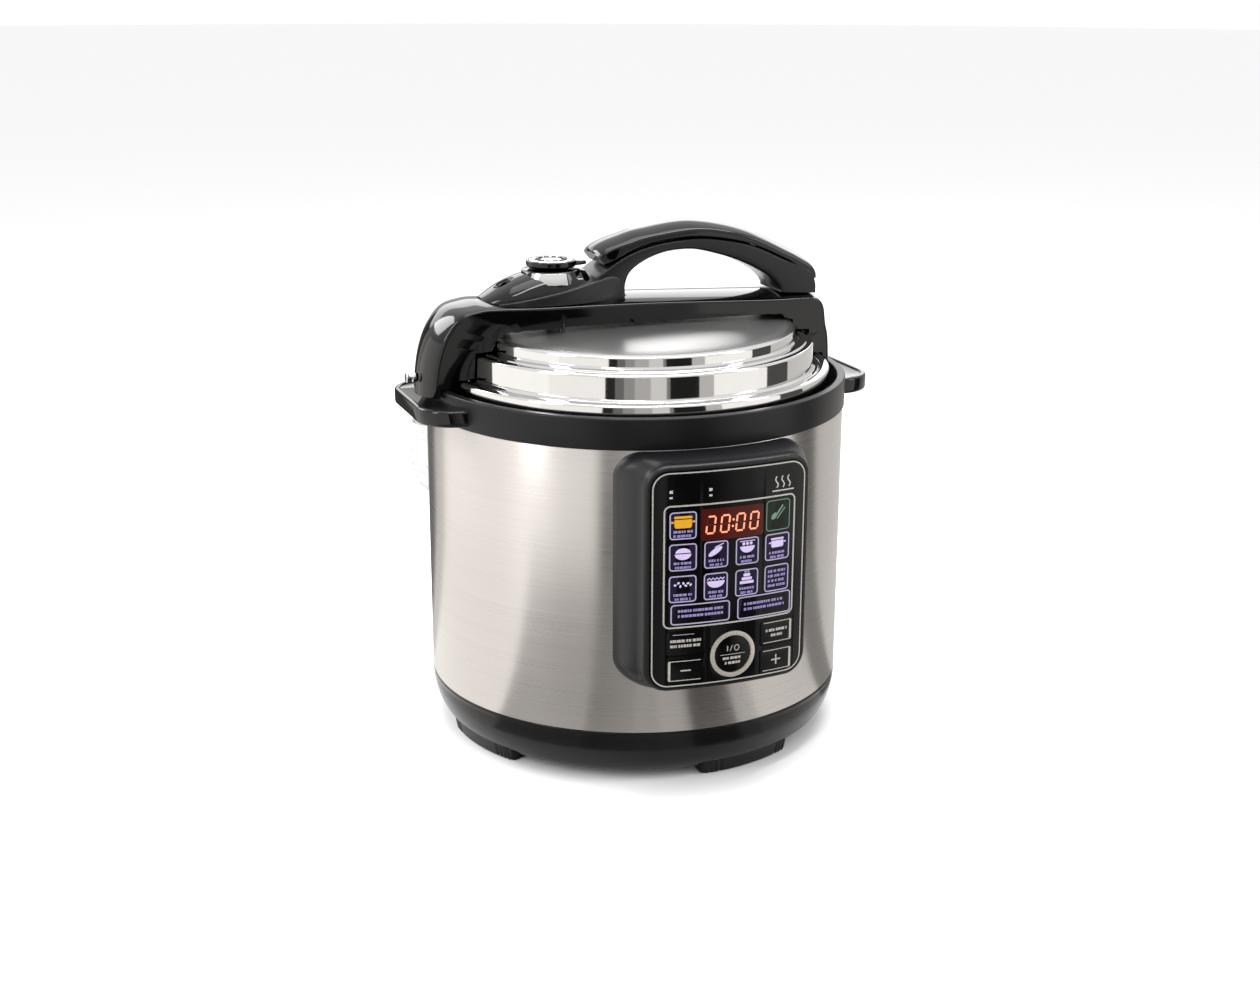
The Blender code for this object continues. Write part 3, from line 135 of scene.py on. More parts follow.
class CookerColours(bpy.types.PropertyGroup):
    """Colours of the cooker's finishes."""
    steel: tint("Brushed steel", "Colour of the steel body", "#C9C5C2")
    steel_dark: tint("Brushed steel, low", "Colour in the grooves of the brushing", "#BBB7B4")
    mirror: tint("Polished steel", "Colour of the lid", "#D3D2D1")
    pressed: tint("Pressed steel", "Colour of the plain steel pieces", "#B4B3B1")
    black: tint("Satin black", "Colour of the moulded black pieces", "#0D0C0E")
    charcoal: tint("Charcoal", "Colour of the grip's lower half", "#141316")
    piano: tint("Gloss black", "Colour of the spine, grip cover and fascia", "#040405")
    ink: tint("Silver ink", "Colour of the fascia's frames", "#A8A49E")
    glow: tint("Lavender light", "Colour of the lit signs", "#D9C9F4")
    violet: tint("Violet film", "Colour of the film behind the signs", "#1D1430")
    digits: tint("Digits", "Colour of the lit digits", "#FF9A72")
    cup: tint("Cup", "Colour of the condensation cup", "#EEF0F1")


class CookerSizes(bpy.types.PropertyGroup):
    """Sizes of the details that the frame leaves open."""
    ring_steps: IntProperty(name="Ring steps", description="Facets of a large ring", default=240, min=48)
    lid_step_r: length("Lower step", "Radius of the lid's lower step", 116 * MM)
    lid_top_r: length("Upper step", "Radius of the lid's upper step", 104 * MM)
    lid_step_z: length("Lower step height", "Height of the ledge between the lid's steps", 257 * MM)
    bead: length("Rim bead", "Radius of the bead rolled round the lid", 1.7 * MM)
    collar_wall: length("Collar wall", "Wall of the collar's upright ring", 5.5 * MM)
    handle_half: length("Handle half width", "Half the width of a side handle", 49 * MM)
    handle_corner: length("Handle corner", "Corner radius of a side handle", 24 * MM)
    handle_low: length("Handle underside", "Height of a side handle's underside", 218 * MM)
    handle_thick: length("Handle thickness", "From the underside to the lip", 10.5 * MM)
    panel_curve: length("Panel curve", "Radius of the panel's face", 242 * MM)
    panel_corner: length("Panel corner", "Corner radius of the fascia", 10.6 * MM)
    beam_top: length("Spine top", "Height of the spine at its middle", 287 * MM)
    beam_low: length("Spine underside", "Height of the spine's underside", 270.5 * MM)
    base_flat_r: length("Base flat", "Radius of the base pan's flat underside", 118 * MM)


class CookerStudio(bpy.types.PropertyGroup):
    """Camera and light."""
    bearing: FloatProperty(name="Bearing", description="Camera's bearing from -Y", unit="ROTATION",
                           default=math.radians(-21.15))
    rise: FloatProperty(name="Elevation", description="Camera's elevation", unit="ROTATION",
                        default=math.radians(16.48))
    distance: length("Distance", "From the camera to its target", 1.2461)
    lens: FloatProperty(name="Lens", description="Focal length in millimetres", default=53.31)
    sky: FloatProperty(name="Sky", description="Strength of the even light from all round", default=1.0)
    floor: tint("Floor", "Colour of the floor", "#F8F8F8")


def sizes():
    """The sizes that a user may change, with every length in millimetres."""
    group = bpy.context.scene.cooker_sizes
    lengths = {name: getattr(group, name) / MM for name in CookerSizes.__annotations__}
    return SimpleNamespace(**{**lengths, "ring_steps": group.ring_steps})


def colours():
    """The colours that a user may change."""
    return bpy.context.scene.cooker_colours


# ---- shapes -------------------------------------------------------------------------------------
def rounded(corners, steps=5):
    """A closed outline from (u, v) or (u, v, radius) corners, with an arc at each rounded one."""
    points = []
    for i, corner in enumerate(corners):
        here = Vector(corner[:2])
        radius = corner[2] if len(corner) > 2 else 0
        if not radius:
            points.append(tuple(here))
            continue
        back, ahead = Vector(corners[i - 1][:2]) - here, Vector(corners[(i + 1) % len(corners)][:2]) - here
        half = back.angle(ahead) / 2
        run = min(radius / math.tan(half), 0.48 * back.length, 0.48 * ahead.length)
        radius = run * math.tan(half)
        centre = here + (back.normalized() + ahead.normalized()).normalized() * radius / math.sin(half)
        first, last = here + back.normalized() * run - centre, here + ahead.normalized() * run - centre
        start = math.atan2(first.y, first.x)
        sweep = math.remainder(math.atan2(last.y, last.x) - start, 2 * math.pi)
        points += [(centre.x + radius * math.cos(start + sweep * k / steps),
                    centre.y + radius * math.sin(start + sweep * k / steps)) for k in range(steps + 1)]
    return points


def round_rect(half, bottom, top, corner, steps=8, centre=0.0):
    """A rounded rectangle, anticlockwise."""
    return rounded([(centre + half, bottom, corner), (centre + half, top, corner),
                    (centre - half, top, corner), (centre - half, bottom, corner)], steps)


def ellipse(centre, half_u, half_v, steps=32, first=0.0, sweep=360.0, tilt=0.0):
    """Points of an ellipse, or of a part of one, turned by tilt degrees."""
    count = steps if sweep == 360 else steps + 1
    turn = math.radians(tilt)
    points = []
    for i in range(count):
        a = math.radians(first + sweep * i / steps)
        u, v = half_u * math.cos(a), half_v * math.sin(a)
        points.append((centre[0] + u * math.cos(turn) - v * math.sin(turn),
                       centre[1] + u * math.sin(turn) + v * math.cos(turn)))
    return points


def lathe(outline, centre=(0, 0), steps=0, first=0.0, turn=360.0):
    """Spin a closed (radius, height) outline about an upright line; points on it stay open."""
    steps = steps or sizes().ring_steps
    whole, n = turn == 360, len(outline)
    count = steps if whole else steps + 1
    points, faces = [], []
    for i in range(count):
        a = math.radians(first + turn * i / steps)
        points += [(centre[0] + r * math.cos(a), centre[1] + r * math.sin(a), z) for r, z in outline]
    for i in range(steps):
        j = (i + 1) % count
        faces += [(i * n + k, j * n + k, j * n + (k + 1) % n, i * n + (k + 1) % n) for k in range(n)
                  if outline[k][0] or outline[(k + 1) % n][0]]
    if not whole:
        faces += [tuple(range(n)), tuple(range(steps * n, steps * n + n))]
    return points, faces


def loft(rings, closed=False):
    """Skin rings of equal counts; the ends are capped, or the last ring joins the first."""
    n, rows = len(rings[0]), len(rings)
    points = [p for ring in rings for p in ring]
    faces = [(i * n + k, i * n + (k + 1) % n, (i + 1) % rows * n + (k + 1) % n, (i + 1) % rows * n + k)
             for i in range(rows if closed else rows - 1) for k in range(n)]
    if not closed:
        faces += [tuple(range(n)), tuple(range((rows - 1) * n, rows * n))]
    return points, faces


def prism(outline, first, last, axis="Z"):
    """An (x, y) outline between two heights, or an (x, z) outline between two depths along Y."""
    if axis == "Z":
        return loft([[(u, v, h) for u, v in outline] for h in (first, last)])
    return loft([[(u, h, v) for u, v in outline] for h in (first, last)])


def moved(shape, place, degrees, axis="Z"):
    """The shape turned about an axis through the origin and then carried to its place."""
    points, faces = shape
    carry = Matrix.Translation(place) @ Matrix.Rotation(math.radians(degrees), 4, axis)
    return [tuple(carry @ Vector(p)) for p in points], faces


def through(keys, steps):
    """A smooth curve through tuples of numbers, with the same number of steps in each span."""
    out = []
    for i in range(len(keys) - 1):
        before, here, after = keys[max(i - 1, 0)], keys[i], keys[i + 1]
        beyond = keys[min(i + 2, len(keys) - 1)]
        for k in range(steps):
            t = k / steps
            out.append(tuple(0.5 * (2 * b + (c - a) * t + (2 * a - 5 * b + 4 * c - d) * t * t
                                    + (3 * b - a - 3 * c + d) * t ** 3)
                             for a, b, c, d in zip(before, here, after, beyond)))
    return out + [tuple(keys[-1])]


def bar(keys, steps=8, crown_points=7):
    """A bar in the XZ plane through keys of (outer x, outer z, inner x, inner z, half width, crown,
    outer edge radius, inner edge radius). The crown is the outer side's fall."""
    rings = []
    for ox, oz, ix, iz, half, crown, edge, inner_edge in through(keys, steps):
        outer, inner = Vector((ox, 0, oz)), Vector((ix, 0, iz))
        up = (outer - inner).normalized()
        tall = (outer - inner).length
        top = [(s * half, tall - crown * s * s) for s in
               (0.8 - 1.6 * k / (crown_points - 1) for k in range(crown_points))]
        section = rounded([(-half, 0, inner_edge), (half, 0, inner_edge), (half, tall - crown, edge), *top,
                           (-half, tall - crown, edge)], 5)
        rings.append([tuple(inner + up * v + Vector((0, u, 0))) for u, v in section])
    return loft(rings)


# ---- pieces -------------------------------------------------------------------------------------
def solid(name, shape, angle=35):
    """A smooth mesh object with its faces turned outwards."""
    points, faces = shape
    bm = bmesh.new()
    verts = [bm.verts.new([c * MM for c in p]) for p in points]
    for face in faces:
        bm.faces.new([verts[i] for i in face])
    bmesh.ops.remove_doubles(bm, verts=bm.verts, dist=WELD * MM)
    bmesh.ops.recalc_face_normals(bm, faces=bm.faces)
    mesh = bpy.data.meshes.new(name)
    bm.to_mesh(mesh)
    bm.free()
    mesh.shade_smooth()
    mesh.set_sharp_from_angle(angle=math.radians(angle))
    piece = bpy.data.objects.new(name, mesh)
    bpy.context.scene.collection.objects.link(piece)
    return piece


def settle(piece, angle=35):
    """Turn the piece's modifiers into mesh."""
    graph = bpy.context.evaluated_depsgraph_get()
    mesh = bpy.data.meshes.new_from_object(piece.evaluated_get(graph))
    piece.modifiers.clear()
    piece.data = mesh
    mesh.shade_smooth()
    mesh.set_sharp_from_angle(angle=math.radians(angle))


def combine(piece, shape, operation="DIFFERENCE"):
    """Cut a shape from the piece, or join or intersect them."""
    tool = solid("tool", shape)
    mod = piece.modifiers.new("combine", "BOOLEAN")
    mod.object, mod.operation, mod.solver = tool, operation, "EXACT"
    settle(piece)
    bpy.data.objects.remove(tool, do_unlink=True)
    if not piece.data.polygons:
        raise RuntimeError(f"nothing is left of {piece.name}")


def drill(piece, x, radius, bottom, top, steps=32):
    """Bore an upright hole on the lid's middle line."""
    combine(piece, prism(ellipse((x, 0), radius, radius, steps), bottom, top))


def soften(piece, width, segments=3, limit=40):
    """Round the piece's edges."""
    mod = piece.modifiers.new("soften", "BEVEL")
    mod.width, mod.segments, mod.limit_method = width * MM, segments, "ANGLE"
    mod.angle_limit = math.radians(limit)
    mod.harden_normals = False
    settle(piece)


def fit(piece, look, body, slot, *nodes):
    """Give the piece its finish, its body and the frame's nodes that it stands for, which are hidden; the
    slot is not used.
    """
    piece.data.materials.clear()
    piece.data.materials.append(finish(look))
    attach(piece, body)
    if nodes:
        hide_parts(*nodes)
    return piece


def turned(name, outline, look, body, slot, *nodes, **spin):
    """Spin an outline into a piece and fit it."""
    return fit(solid(name, lathe(outline, **spin)), look, body, slot, *nodes)


# ---- finishes -----------------------------------------------------------------------------------
def linear(code, shade=1.0):
    """An sRGB hex colour as linear red, green and blue, darkened by the shade, with an alpha of 1."""
    value = int(code.lstrip("#"), 16)
    parts = [(value >> shift & 255) / 255 for shift in (16, 8, 0)]
    return [shade * (c / 12.92 if c <= 0.04045 else ((c + 0.055) / 1.055) ** 2.4) for c in parts] + [1.0]


def add(tree, kind, inputs=None, **settings):
    """Add a node, set its properties, and set or link its inputs."""
    node = tree.nodes.new("ShaderNode" + kind)
    for key, value in settings.items():
        setattr(node, key, value)
    for key, value in (inputs or {}).items():
        if isinstance(value, bpy.types.NodeSocket):
            tree.links.new(value, node.inputs[key])
        else:
            node.inputs[key].default_value = value
    return node


def surface(name, **constants):
    """A material with the given constants on its shader; returns it with its tree and its shader."""
    mat = bpy.data.materials.new(name)
    mat.use_nodes = True
    shader = mat.node_tree.nodes["Principled BSDF"]
    for key, value in constants.items():
        shader.inputs[key.replace("_", " ")].default_value = value
    return mat, mat.node_tree, shader


def grain(tree, size, detail=2.0, roughness=0.55):
    """Noise over the piece, with grains of one size, or of a size along each of X, Y and Z, in mm."""
    widths = size if isinstance(size, tuple) else (size,) * 3
    place = add(tree, "TexCoord").outputs["Object"]
    spread = add(tree, "Mapping", {"Vector": place, "Scale": [1 / (w * MM) for w in widths]})
    return add(tree, "TexNoise", {"Vector": spread.outputs["Vector"], "Scale": 1.0, "Detail": detail,
                                  "Roughness": roughness}).outputs[0]


def blend(tree, amount, dark, light, socket):
    """Drive a colour socket between two colours."""
    mix = add(tree, "MixRGB", {"Fac": amount, "Color1": dark, "Color2": light})
    tree.links.new(mix.outputs["Color"], socket)


def roughen(tree, shader, amount, rough, span=(0.3, 0.7)):
    """Drive the roughness between two values while the amount crosses its span."""
    rough = add(tree, "MapRange", {"Value": amount, "From Min": span[0], "From Max": span[1],
                                   "To Min": rough[0], "To Max": rough[1]})
    tree.links.new(rough.outputs["Result"], shader.inputs["Roughness"])


def emboss(tree, shader, amount, depth, strength=1.0):
    """Raise the surface by the amount, to a depth in millimetres."""
    bump = add(tree, "Bump", {"Height": amount, "Distance": depth * MM, "Strength": strength})
    tree.links.new(bump.outputs["Normal"], shader.inputs["Normal"])


def mottled(name, dark, light, size, rough, depth=0.0, strength=1.0, detail=2.0, **constants):
    """A surface whose colour and roughness drift with its grain, which may also be felt."""
    mat, tree, shader = surface(name, **constants)
    amount = grain(tree, size, detail)
    blend(tree, amount, dark, light, shader.inputs["Base Color"])
    roughen(tree, shader, amount, rough)
    if depth:
        emboss(tree, shader, amount, depth, strength)
    return mat


def brushed_stainless(name, light, dark):
    """18/8 stainless sheet, brushed round the axis with a belt: fine level lines that smear what the
    steel reflects up and down, so light falls in soft upright bands. The lines are 0.1 mm apart on
    the real sheet and are drawn five times as coarse, so that they show."""
    mat, tree, shader = surface(name, Metallic=1.0, Anisotropic=0.8, Anisotropic_Rotation=0.25)
    lines = grain(tree, (250, 250, 0.55), roughness=0.5)
    blend(tree, lines, linear(dark), linear(light), shader.inputs["Base Color"])
    roughen(tree, shader, lines, (0.27, 0.295))
    tangent = add(tree, "Tangent", direction_type="RADIAL", axis="Z")
    tree.links.new(tangent.outputs["Tangent"], shader.inputs["Tangent"])


def polished_stainless(name, colour):
    """18/10 stainless, drawn and buffed to a mirror: clear reflections with a faint orange peel."""
    mottled(name, linear(colour, 0.94), linear(colour), 14.3, (0.045, 0.075), 0.02, 0.1, Metallic=1.0)


def lid_stainless(name, colour):
    """The lid's mirror steel. Its flat top is finished with a fine pad, so it reflects the spine and
    the sky softly, while its steps and rim stay sharp."""
    mat, tree, shader = surface(name, Metallic=1.0)
    peel = grain(tree, 14.3)
    blend(tree, peel, linear(colour, 0.94), linear(colour), shader.inputs["Base Color"])
    emboss(tree, shader, peel, 0.02, 0.1)
    place = add(tree, "TexCoord").outputs["Object"]
    height = add(tree, "SeparateXYZ", {"Vector": place}).outputs["Z"]
    roughen(tree, shader, height, (0.05, 0.3), ((LID_HIGH - 5.4) * MM, (LID_HIGH - 3.2) * MM))


def pressed_stainless(name, colour):
    """Stainless sheet as pressed, with a dull mill finish that breaks reflections up."""
    mottled(name, linear(colour, 0.82), linear(colour), 4.17, (0.26, 0.38), detail=4.0, Metallic=1.0)


def moulded_abs(name, colour, rough=(0.3, 0.42), specular=0.24):
    """ABS moulded in a spark-eroded tool: an even satin grain that greys the light it catches."""
    mottled(name, linear(colour, 0.8), linear(colour), 0.5, rough, 0.02, 0.5, Specular_IOR_Level=specular)


def piano_black(name, colour, specular=0.4, rough=(0.05, 0.09)):
    """ABS moulded in a polished tool: deep black with sharp reflections and a faint waviness."""
    mottled(name, linear(colour, 0.7), linear(colour), 22.2, rough, 0.05, 0.25, 1.0,
            Specular_IOR_Level=specular)


def screen_ink(name, colour, metallic=0.0, roughness=0.38):
    """Screen-printed ink under a clear coat: flat colour with the faint mottle of the mesh."""
    mottled(name, linear(colour, 0.86), linear(colour), 1.11, (roughness, roughness + 0.08), detail=1.0,
            Metallic=metallic)


def lit_film(name, colour, strength):
    """Printed film with a lamp behind it: an even glow with a faint random mottle."""
    mat, tree, shader = surface(name, Roughness=0.4, Emission_Strength=strength,
                                Specular_IOR_Level=0.2, Base_Color=linear(colour, 0.25))
    glow = shader.inputs["Emission Color"]
    blend(tree, grain(tree, 4.55, 1.0), linear(colour, 0.72), linear(colour), glow)


def tinted_window(name):
    """Red-tinted acrylic over an LED block: nearly black, with a painted dull red glow of the LEDs behind it
    and a hard gloss.
    """
    mat, tree, shader = surface(name, Roughness=0.16, Emission_Strength=0.5, Specular_IOR_Level=0.2,
                                Base_Color=linear("#240605"))
    # painted dull red glow on the window, with a random mottle
    blend(tree, grain(tree, 16.7, 1.0), linear("#34100C"), linear("#64201A"), shader.inputs["Emission Color"])


def frosted_polypropylene(name, colour):
    """Clear polypropylene, lightly frosted: milky, with light passing through its thin wall."""
    mottled(name, linear(colour, 0.93), linear(colour), 8.33, (0.25, 0.35), IOR=1.49,
            Transmission_Weight=0.45)


def milky_silicone(name):
    """Moulded silicone rubber: dull and milky, with a faint cloud in its colour."""
    mottled(name, linear("#CFCBC2"), linear("#E2DFD8"), 6.25, (0.45, 0.6), Specular_IOR_Level=0.4)


def non_stick(name):
    """PTFE sprayed on pressed aluminium: dark grey with fine pale flecks and a soft sheen."""
    mottled(name, linear("#242427"), linear("#3D3D41"), 0.91, (0.28, 0.4), 0.01, 0.4, Specular_IOR_Level=0.6)


def cast_aluminium(name):
    """Die-cast aluminium with a turned face: pale grey, with rings from the lathe tool, 1.2 mm apart
    where the real ones are 0.2 mm apart, so that they show."""
    mat, tree, shader = surface(name, Metallic=1.0, Anisotropic=0.5, Anisotropic_Rotation=0.25)
    place = add(tree, "TexCoord").outputs["Object"]
    rings = add(tree, "TexWave", {"Vector": place, "Scale": 0.31 / (1.2 * MM), "Distortion": 0.4},
                wave_type="RINGS", rings_direction="Z").outputs[1]
    blend(tree, rings, linear("#8F9295"), linear("#B3B6B9"), shader.inputs["Base Color"])
    roughen(tree, shader, rings, (0.32, 0.46))
    emboss(tree, shader, rings, 0.02)


def solder_mask(name):
    """Glass-fibre board under green lacquer, with the fine weave just showing."""
    mottled(name, linear("#174A2B"), linear("#206038"), (0.67, 2.5, 0.67), (0.3, 0.42), detail=1.0)


def finish(name):
    """The named finish, made the first time it is asked for."""
    if name not in bpy.data.materials:
        c = colours()
        maker, *details = {
            "brushed_stainless": (brushed_stainless, c.steel, c.steel_dark),
            "polished_stainless": (polished_stainless, c.mirror),
            "lid_stainless": (lid_stainless, c.mirror),
            "plated_trim": (screen_ink, "#B3ADA2", 0.5, 0.26),
            "pressed_stainless": (pressed_stainless, c.pressed),
            "moulded_black_abs": (moulded_abs, c.black),
            "moulded_black_base": (moulded_abs, c.black, (0.16, 0.24), 0.22),
            "panel_box_abs": (moulded_abs, "#131215", (0.26, 0.36), 0.3),
            "charcoal_abs": (moulded_abs, c.charcoal, (0.24, 0.34), 0.3),
            "white_abs": (moulded_abs, "#DEDBD3", (0.4, 0.5), 0.5),
            "piano_black_abs": (piano_black, c.piano),
            "fascia_acrylic": (piano_black, c.piano, 0.22, (0.16, 0.22)),
            "silver_ink": (screen_ink, c.ink, 0.3),
            "pale_ink": (screen_ink, "#A9A59F"),
            "lavender_sign": (lit_film, c.glow, 0.75),
            "lavender_line": (lit_film, "#BDB2D8", 0.62),
            "violet_text": (lit_film, "#A191CE", 0.55),
            "violet_film": (lit_film, c.violet, 0.6),
            "amber_sign": (lit_film, "#E3A41C", 0.8),
            "green_film": (lit_film, "#152A1E", 0.5),
            "green_sign": (lit_film, "#7FA68C", 0.5),
            "led_digit": (lit_film, c.digits, 1.5),
            # unlit digit bars, drawn with a faint painted glow
            "led_off": (lit_film, "#5A1B14", 0.5),
            "tinted_window": (tinted_window,),
            "frosted_polypropylene": (frosted_polypropylene, c.cup),
            "milky_silicone": (milky_silicone,),
            "non_stick": (non_stick,),
            "cast_aluminium": (cast_aluminium,),
            "solder_mask": (solder_mask,),
        }[name]
        maker(name, *details)
    return bpy.data.materials[name]


# ---- body ---------------------------------------------------------------------------------------
class MakeBody(bpy.types.Operator):
    """Brushed steel body, black base pan and feet"""
    bl_idname = "cooker.make_body"
    bl_label = "Body and base"

    def execute(self, context):
        wall, edge = 0.8, 0.25
        turned("steel_body", rounded([(BODY_R - wall, STEEL_LOW, edge), (BODY_R, STEEL_LOW, edge),
                                      (BODY_R, STEEL_HIGH, edge), (BODY_R - wall, STEEL_HIGH, edge)], 2),
               "brushed_stainless", "housing", "brushed_steel_body", "outer_shell")
        self.base()
        self.feet()
        return {"FINISHED"}

    def base(self):
        """The bowl under the steel body, and the ribbed cover that closes its opening."""
        flat, rim, hole, skin = sizes().base_flat_r, STEEL_LOW - CLEAR, 70, 2.5
        wide, tall = BODY_R - flat, rim - BASE_FLAT
        curve = [(flat + wide * math.sin(a), rim - tall * math.cos(a))
                 for a in (math.pi / 2 * i / 24 for i in range(24))]
        lip = rounded([(BODY_R, rim - 2), (BODY_R, rim, 0.8), (BODY_R - 1.4, rim),
                       (BODY_R - 1.4, rim + 6), (BODY_R - 4, rim + 6), (BODY_R - 4, rim)], 4)
        inner = [(r - skin, max(z, BASE_FLAT + skin)) for r, z in curve[::-3]]
        outline = [(hole, BASE_FLAT)] + curve + lip + inner + [(hole, BASE_FLAT + skin)]
        turned("base_bowl", outline, "moulded_black_base", "housing", "satin_black_plastic", "base_pan")
        cover = rounded([(0, BASE_FLAT), (hole - CLEAR, BASE_FLAT, 0.6),
                         (hole - CLEAR, BASE_FLAT + 2.8), (hole + 7, BASE_FLAT + 2.8),
                         (hole + 7, BASE_FLAT + 5), (0, BASE_FLAT + 5)])
        turned("base_cover", cover, "moulded_black_abs", "housing", "satin_black_plastic", "bottom_cover")
        for k in range(3):
            ring = 34 + 12 * k
            rib = rounded([(ring, BASE_FLAT - 0.5, 0.4), (ring + 3, BASE_FLAT - 0.5, 0.4),
                           (ring + 3, BASE_FLAT + 1), (ring, BASE_FLAT + 1)])
            turned(f"base_rib_{k + 1}", rib, "moulded_black_abs", "housing", "satin_black_plastic")

    def feet(self):
        """Four arcs that follow the bowl, each ribbed at its two ends."""
        reach, width, arc, first, steps = 125.5, 16, 32.0, -75, 70
        for k in range(4):
            rings = []
            for i in range(steps + 1):
                share = i / steps
                from_end = min(share, 1 - share) * arc
                rib = 0.7 * (from_end < 6 and int(from_end / 0.75) % 2)
                shrink = 3 * max(0, 1 - from_end / 1.2) ** 2
                r = reach - rib - shrink
                section = rounded([(reach - width + shrink, 0, 1), (r, 0, 2), (r + 2.4, 11.5), (r - 6, 10),
                                   (reach - width + shrink, BASE_FLAT + 1)], 4)
                turn = math.radians(first + 90 * k + arc * (share - 0.5))
                rings.append([(q * math.cos(turn), q * math.sin(turn), z) for q, z in section])
            fit(solid(f"foot_pad_{k + 1}", loft(rings)), "moulded_black_abs", "housing",
                "satin_black_plastic", f"foot_{k + 1}")


class MakeCollar(bpy.types.Operator):
    """Black collar with its two side handles"""
    bl_idname = "cooker.make_collar"
    bl_label = "Collar and side handles"

    def execute(self, context):
        s = sizes()
        seat, spigot = LINER_R + CLEAR, BODY_R - 1.1
        shelf, ring_in = STEEL_HIGH + 0.9, COLLAR_R - s.collar_wall
        inner = FLANGE_R - 2.5
        outline = rounded([
            (seat, SPIGOT_LOW), (spigot - 2, SPIGOT_LOW), (spigot, SPIGOT_LOW + 1),
            (spigot, STEEL_HIGH + CLEAR), (COLLAR_R, STEEL_HIGH + CLEAR, 0.6),
            (COLLAR_R, COLLAR_TOP, 1.1), (ring_in, COLLAR_TOP, 0.9), (ring_in, shelf, 2),
            (inner, shelf, 0.5), (inner, FLANGE_LOW - CLEAR), (seat, FLANGE_LOW - CLEAR)])
        turned("collar_ring", outline, "moulded_black_abs", "housing", "satin_black_plastic", "top_collar")
        for side, name in ((-1, "left"), (1, "right")):
            fit(solid(f"side_handle_{name}", self.handle(side)), "piano_black_abs", "housing",
                "satin_black_plastic")
        return {"FINISHED"}

    def handle(self, side):
        """A ledge with a raised lip, skinned from its root on the collar out to its tip."""
        s = sizes()
        bottom, lip = s.handle_low, s.handle_low + s.handle_thick
        dish = lip - 1.5
        root = COLLAR_R - 0.6
        levels = [(2.2, bottom), (1.0, bottom + 0.3), (0.3, bottom + 1), (0.0, bottom + 2.2),
                  (0.0, lip - 1.6), (0.3, lip - 0.7), (0.9, lip - 0.2), (1.6, lip),
                  (2.8, lip), (3.3, lip - 0.3), (3.6, dish + 0.4), (4.2, dish)]
        rows = [self.edge(side, inset, z) for inset, z in levels]
        path = [p[1] for p in rows[-1]]
        foot = [(side * math.sqrt(root * root - y * y), y) for y in path]
        rows = [[(x, y, bottom) for x, y in foot]] + rows + [[(x, y, dish) for x, y in foot]]
        return loft([list(section) for section in zip(*rows)])

    def edge(self, side, inset, z):
        """The handle's plan, drawn in by the inset, from its front root round its tip to its back."""
        s = sizes()
        half, corner = s.handle_half - inset, s.handle_corner - inset
        tip = HANDLE_TIP - inset
        straight = math.sqrt(COLLAR_R ** 2 - half ** 2)
        points = [(straight + (tip - corner - straight) * i / 4, -half) for i in range(4)]
        points += [(tip - corner + corner * math.cos(a), corner - half + corner * math.sin(a))
                   for a in (math.radians(-90 + 90 * i / 14) for i in range(15))]
        points += [(tip, (corner - half) * (1 - i / 4)) for i in range(1, 4)]
        back = [(x, -y) for x, y in points[::-1]]
        return [(side * x, y, z) for x, y in points + [(tip, 0)] + back]


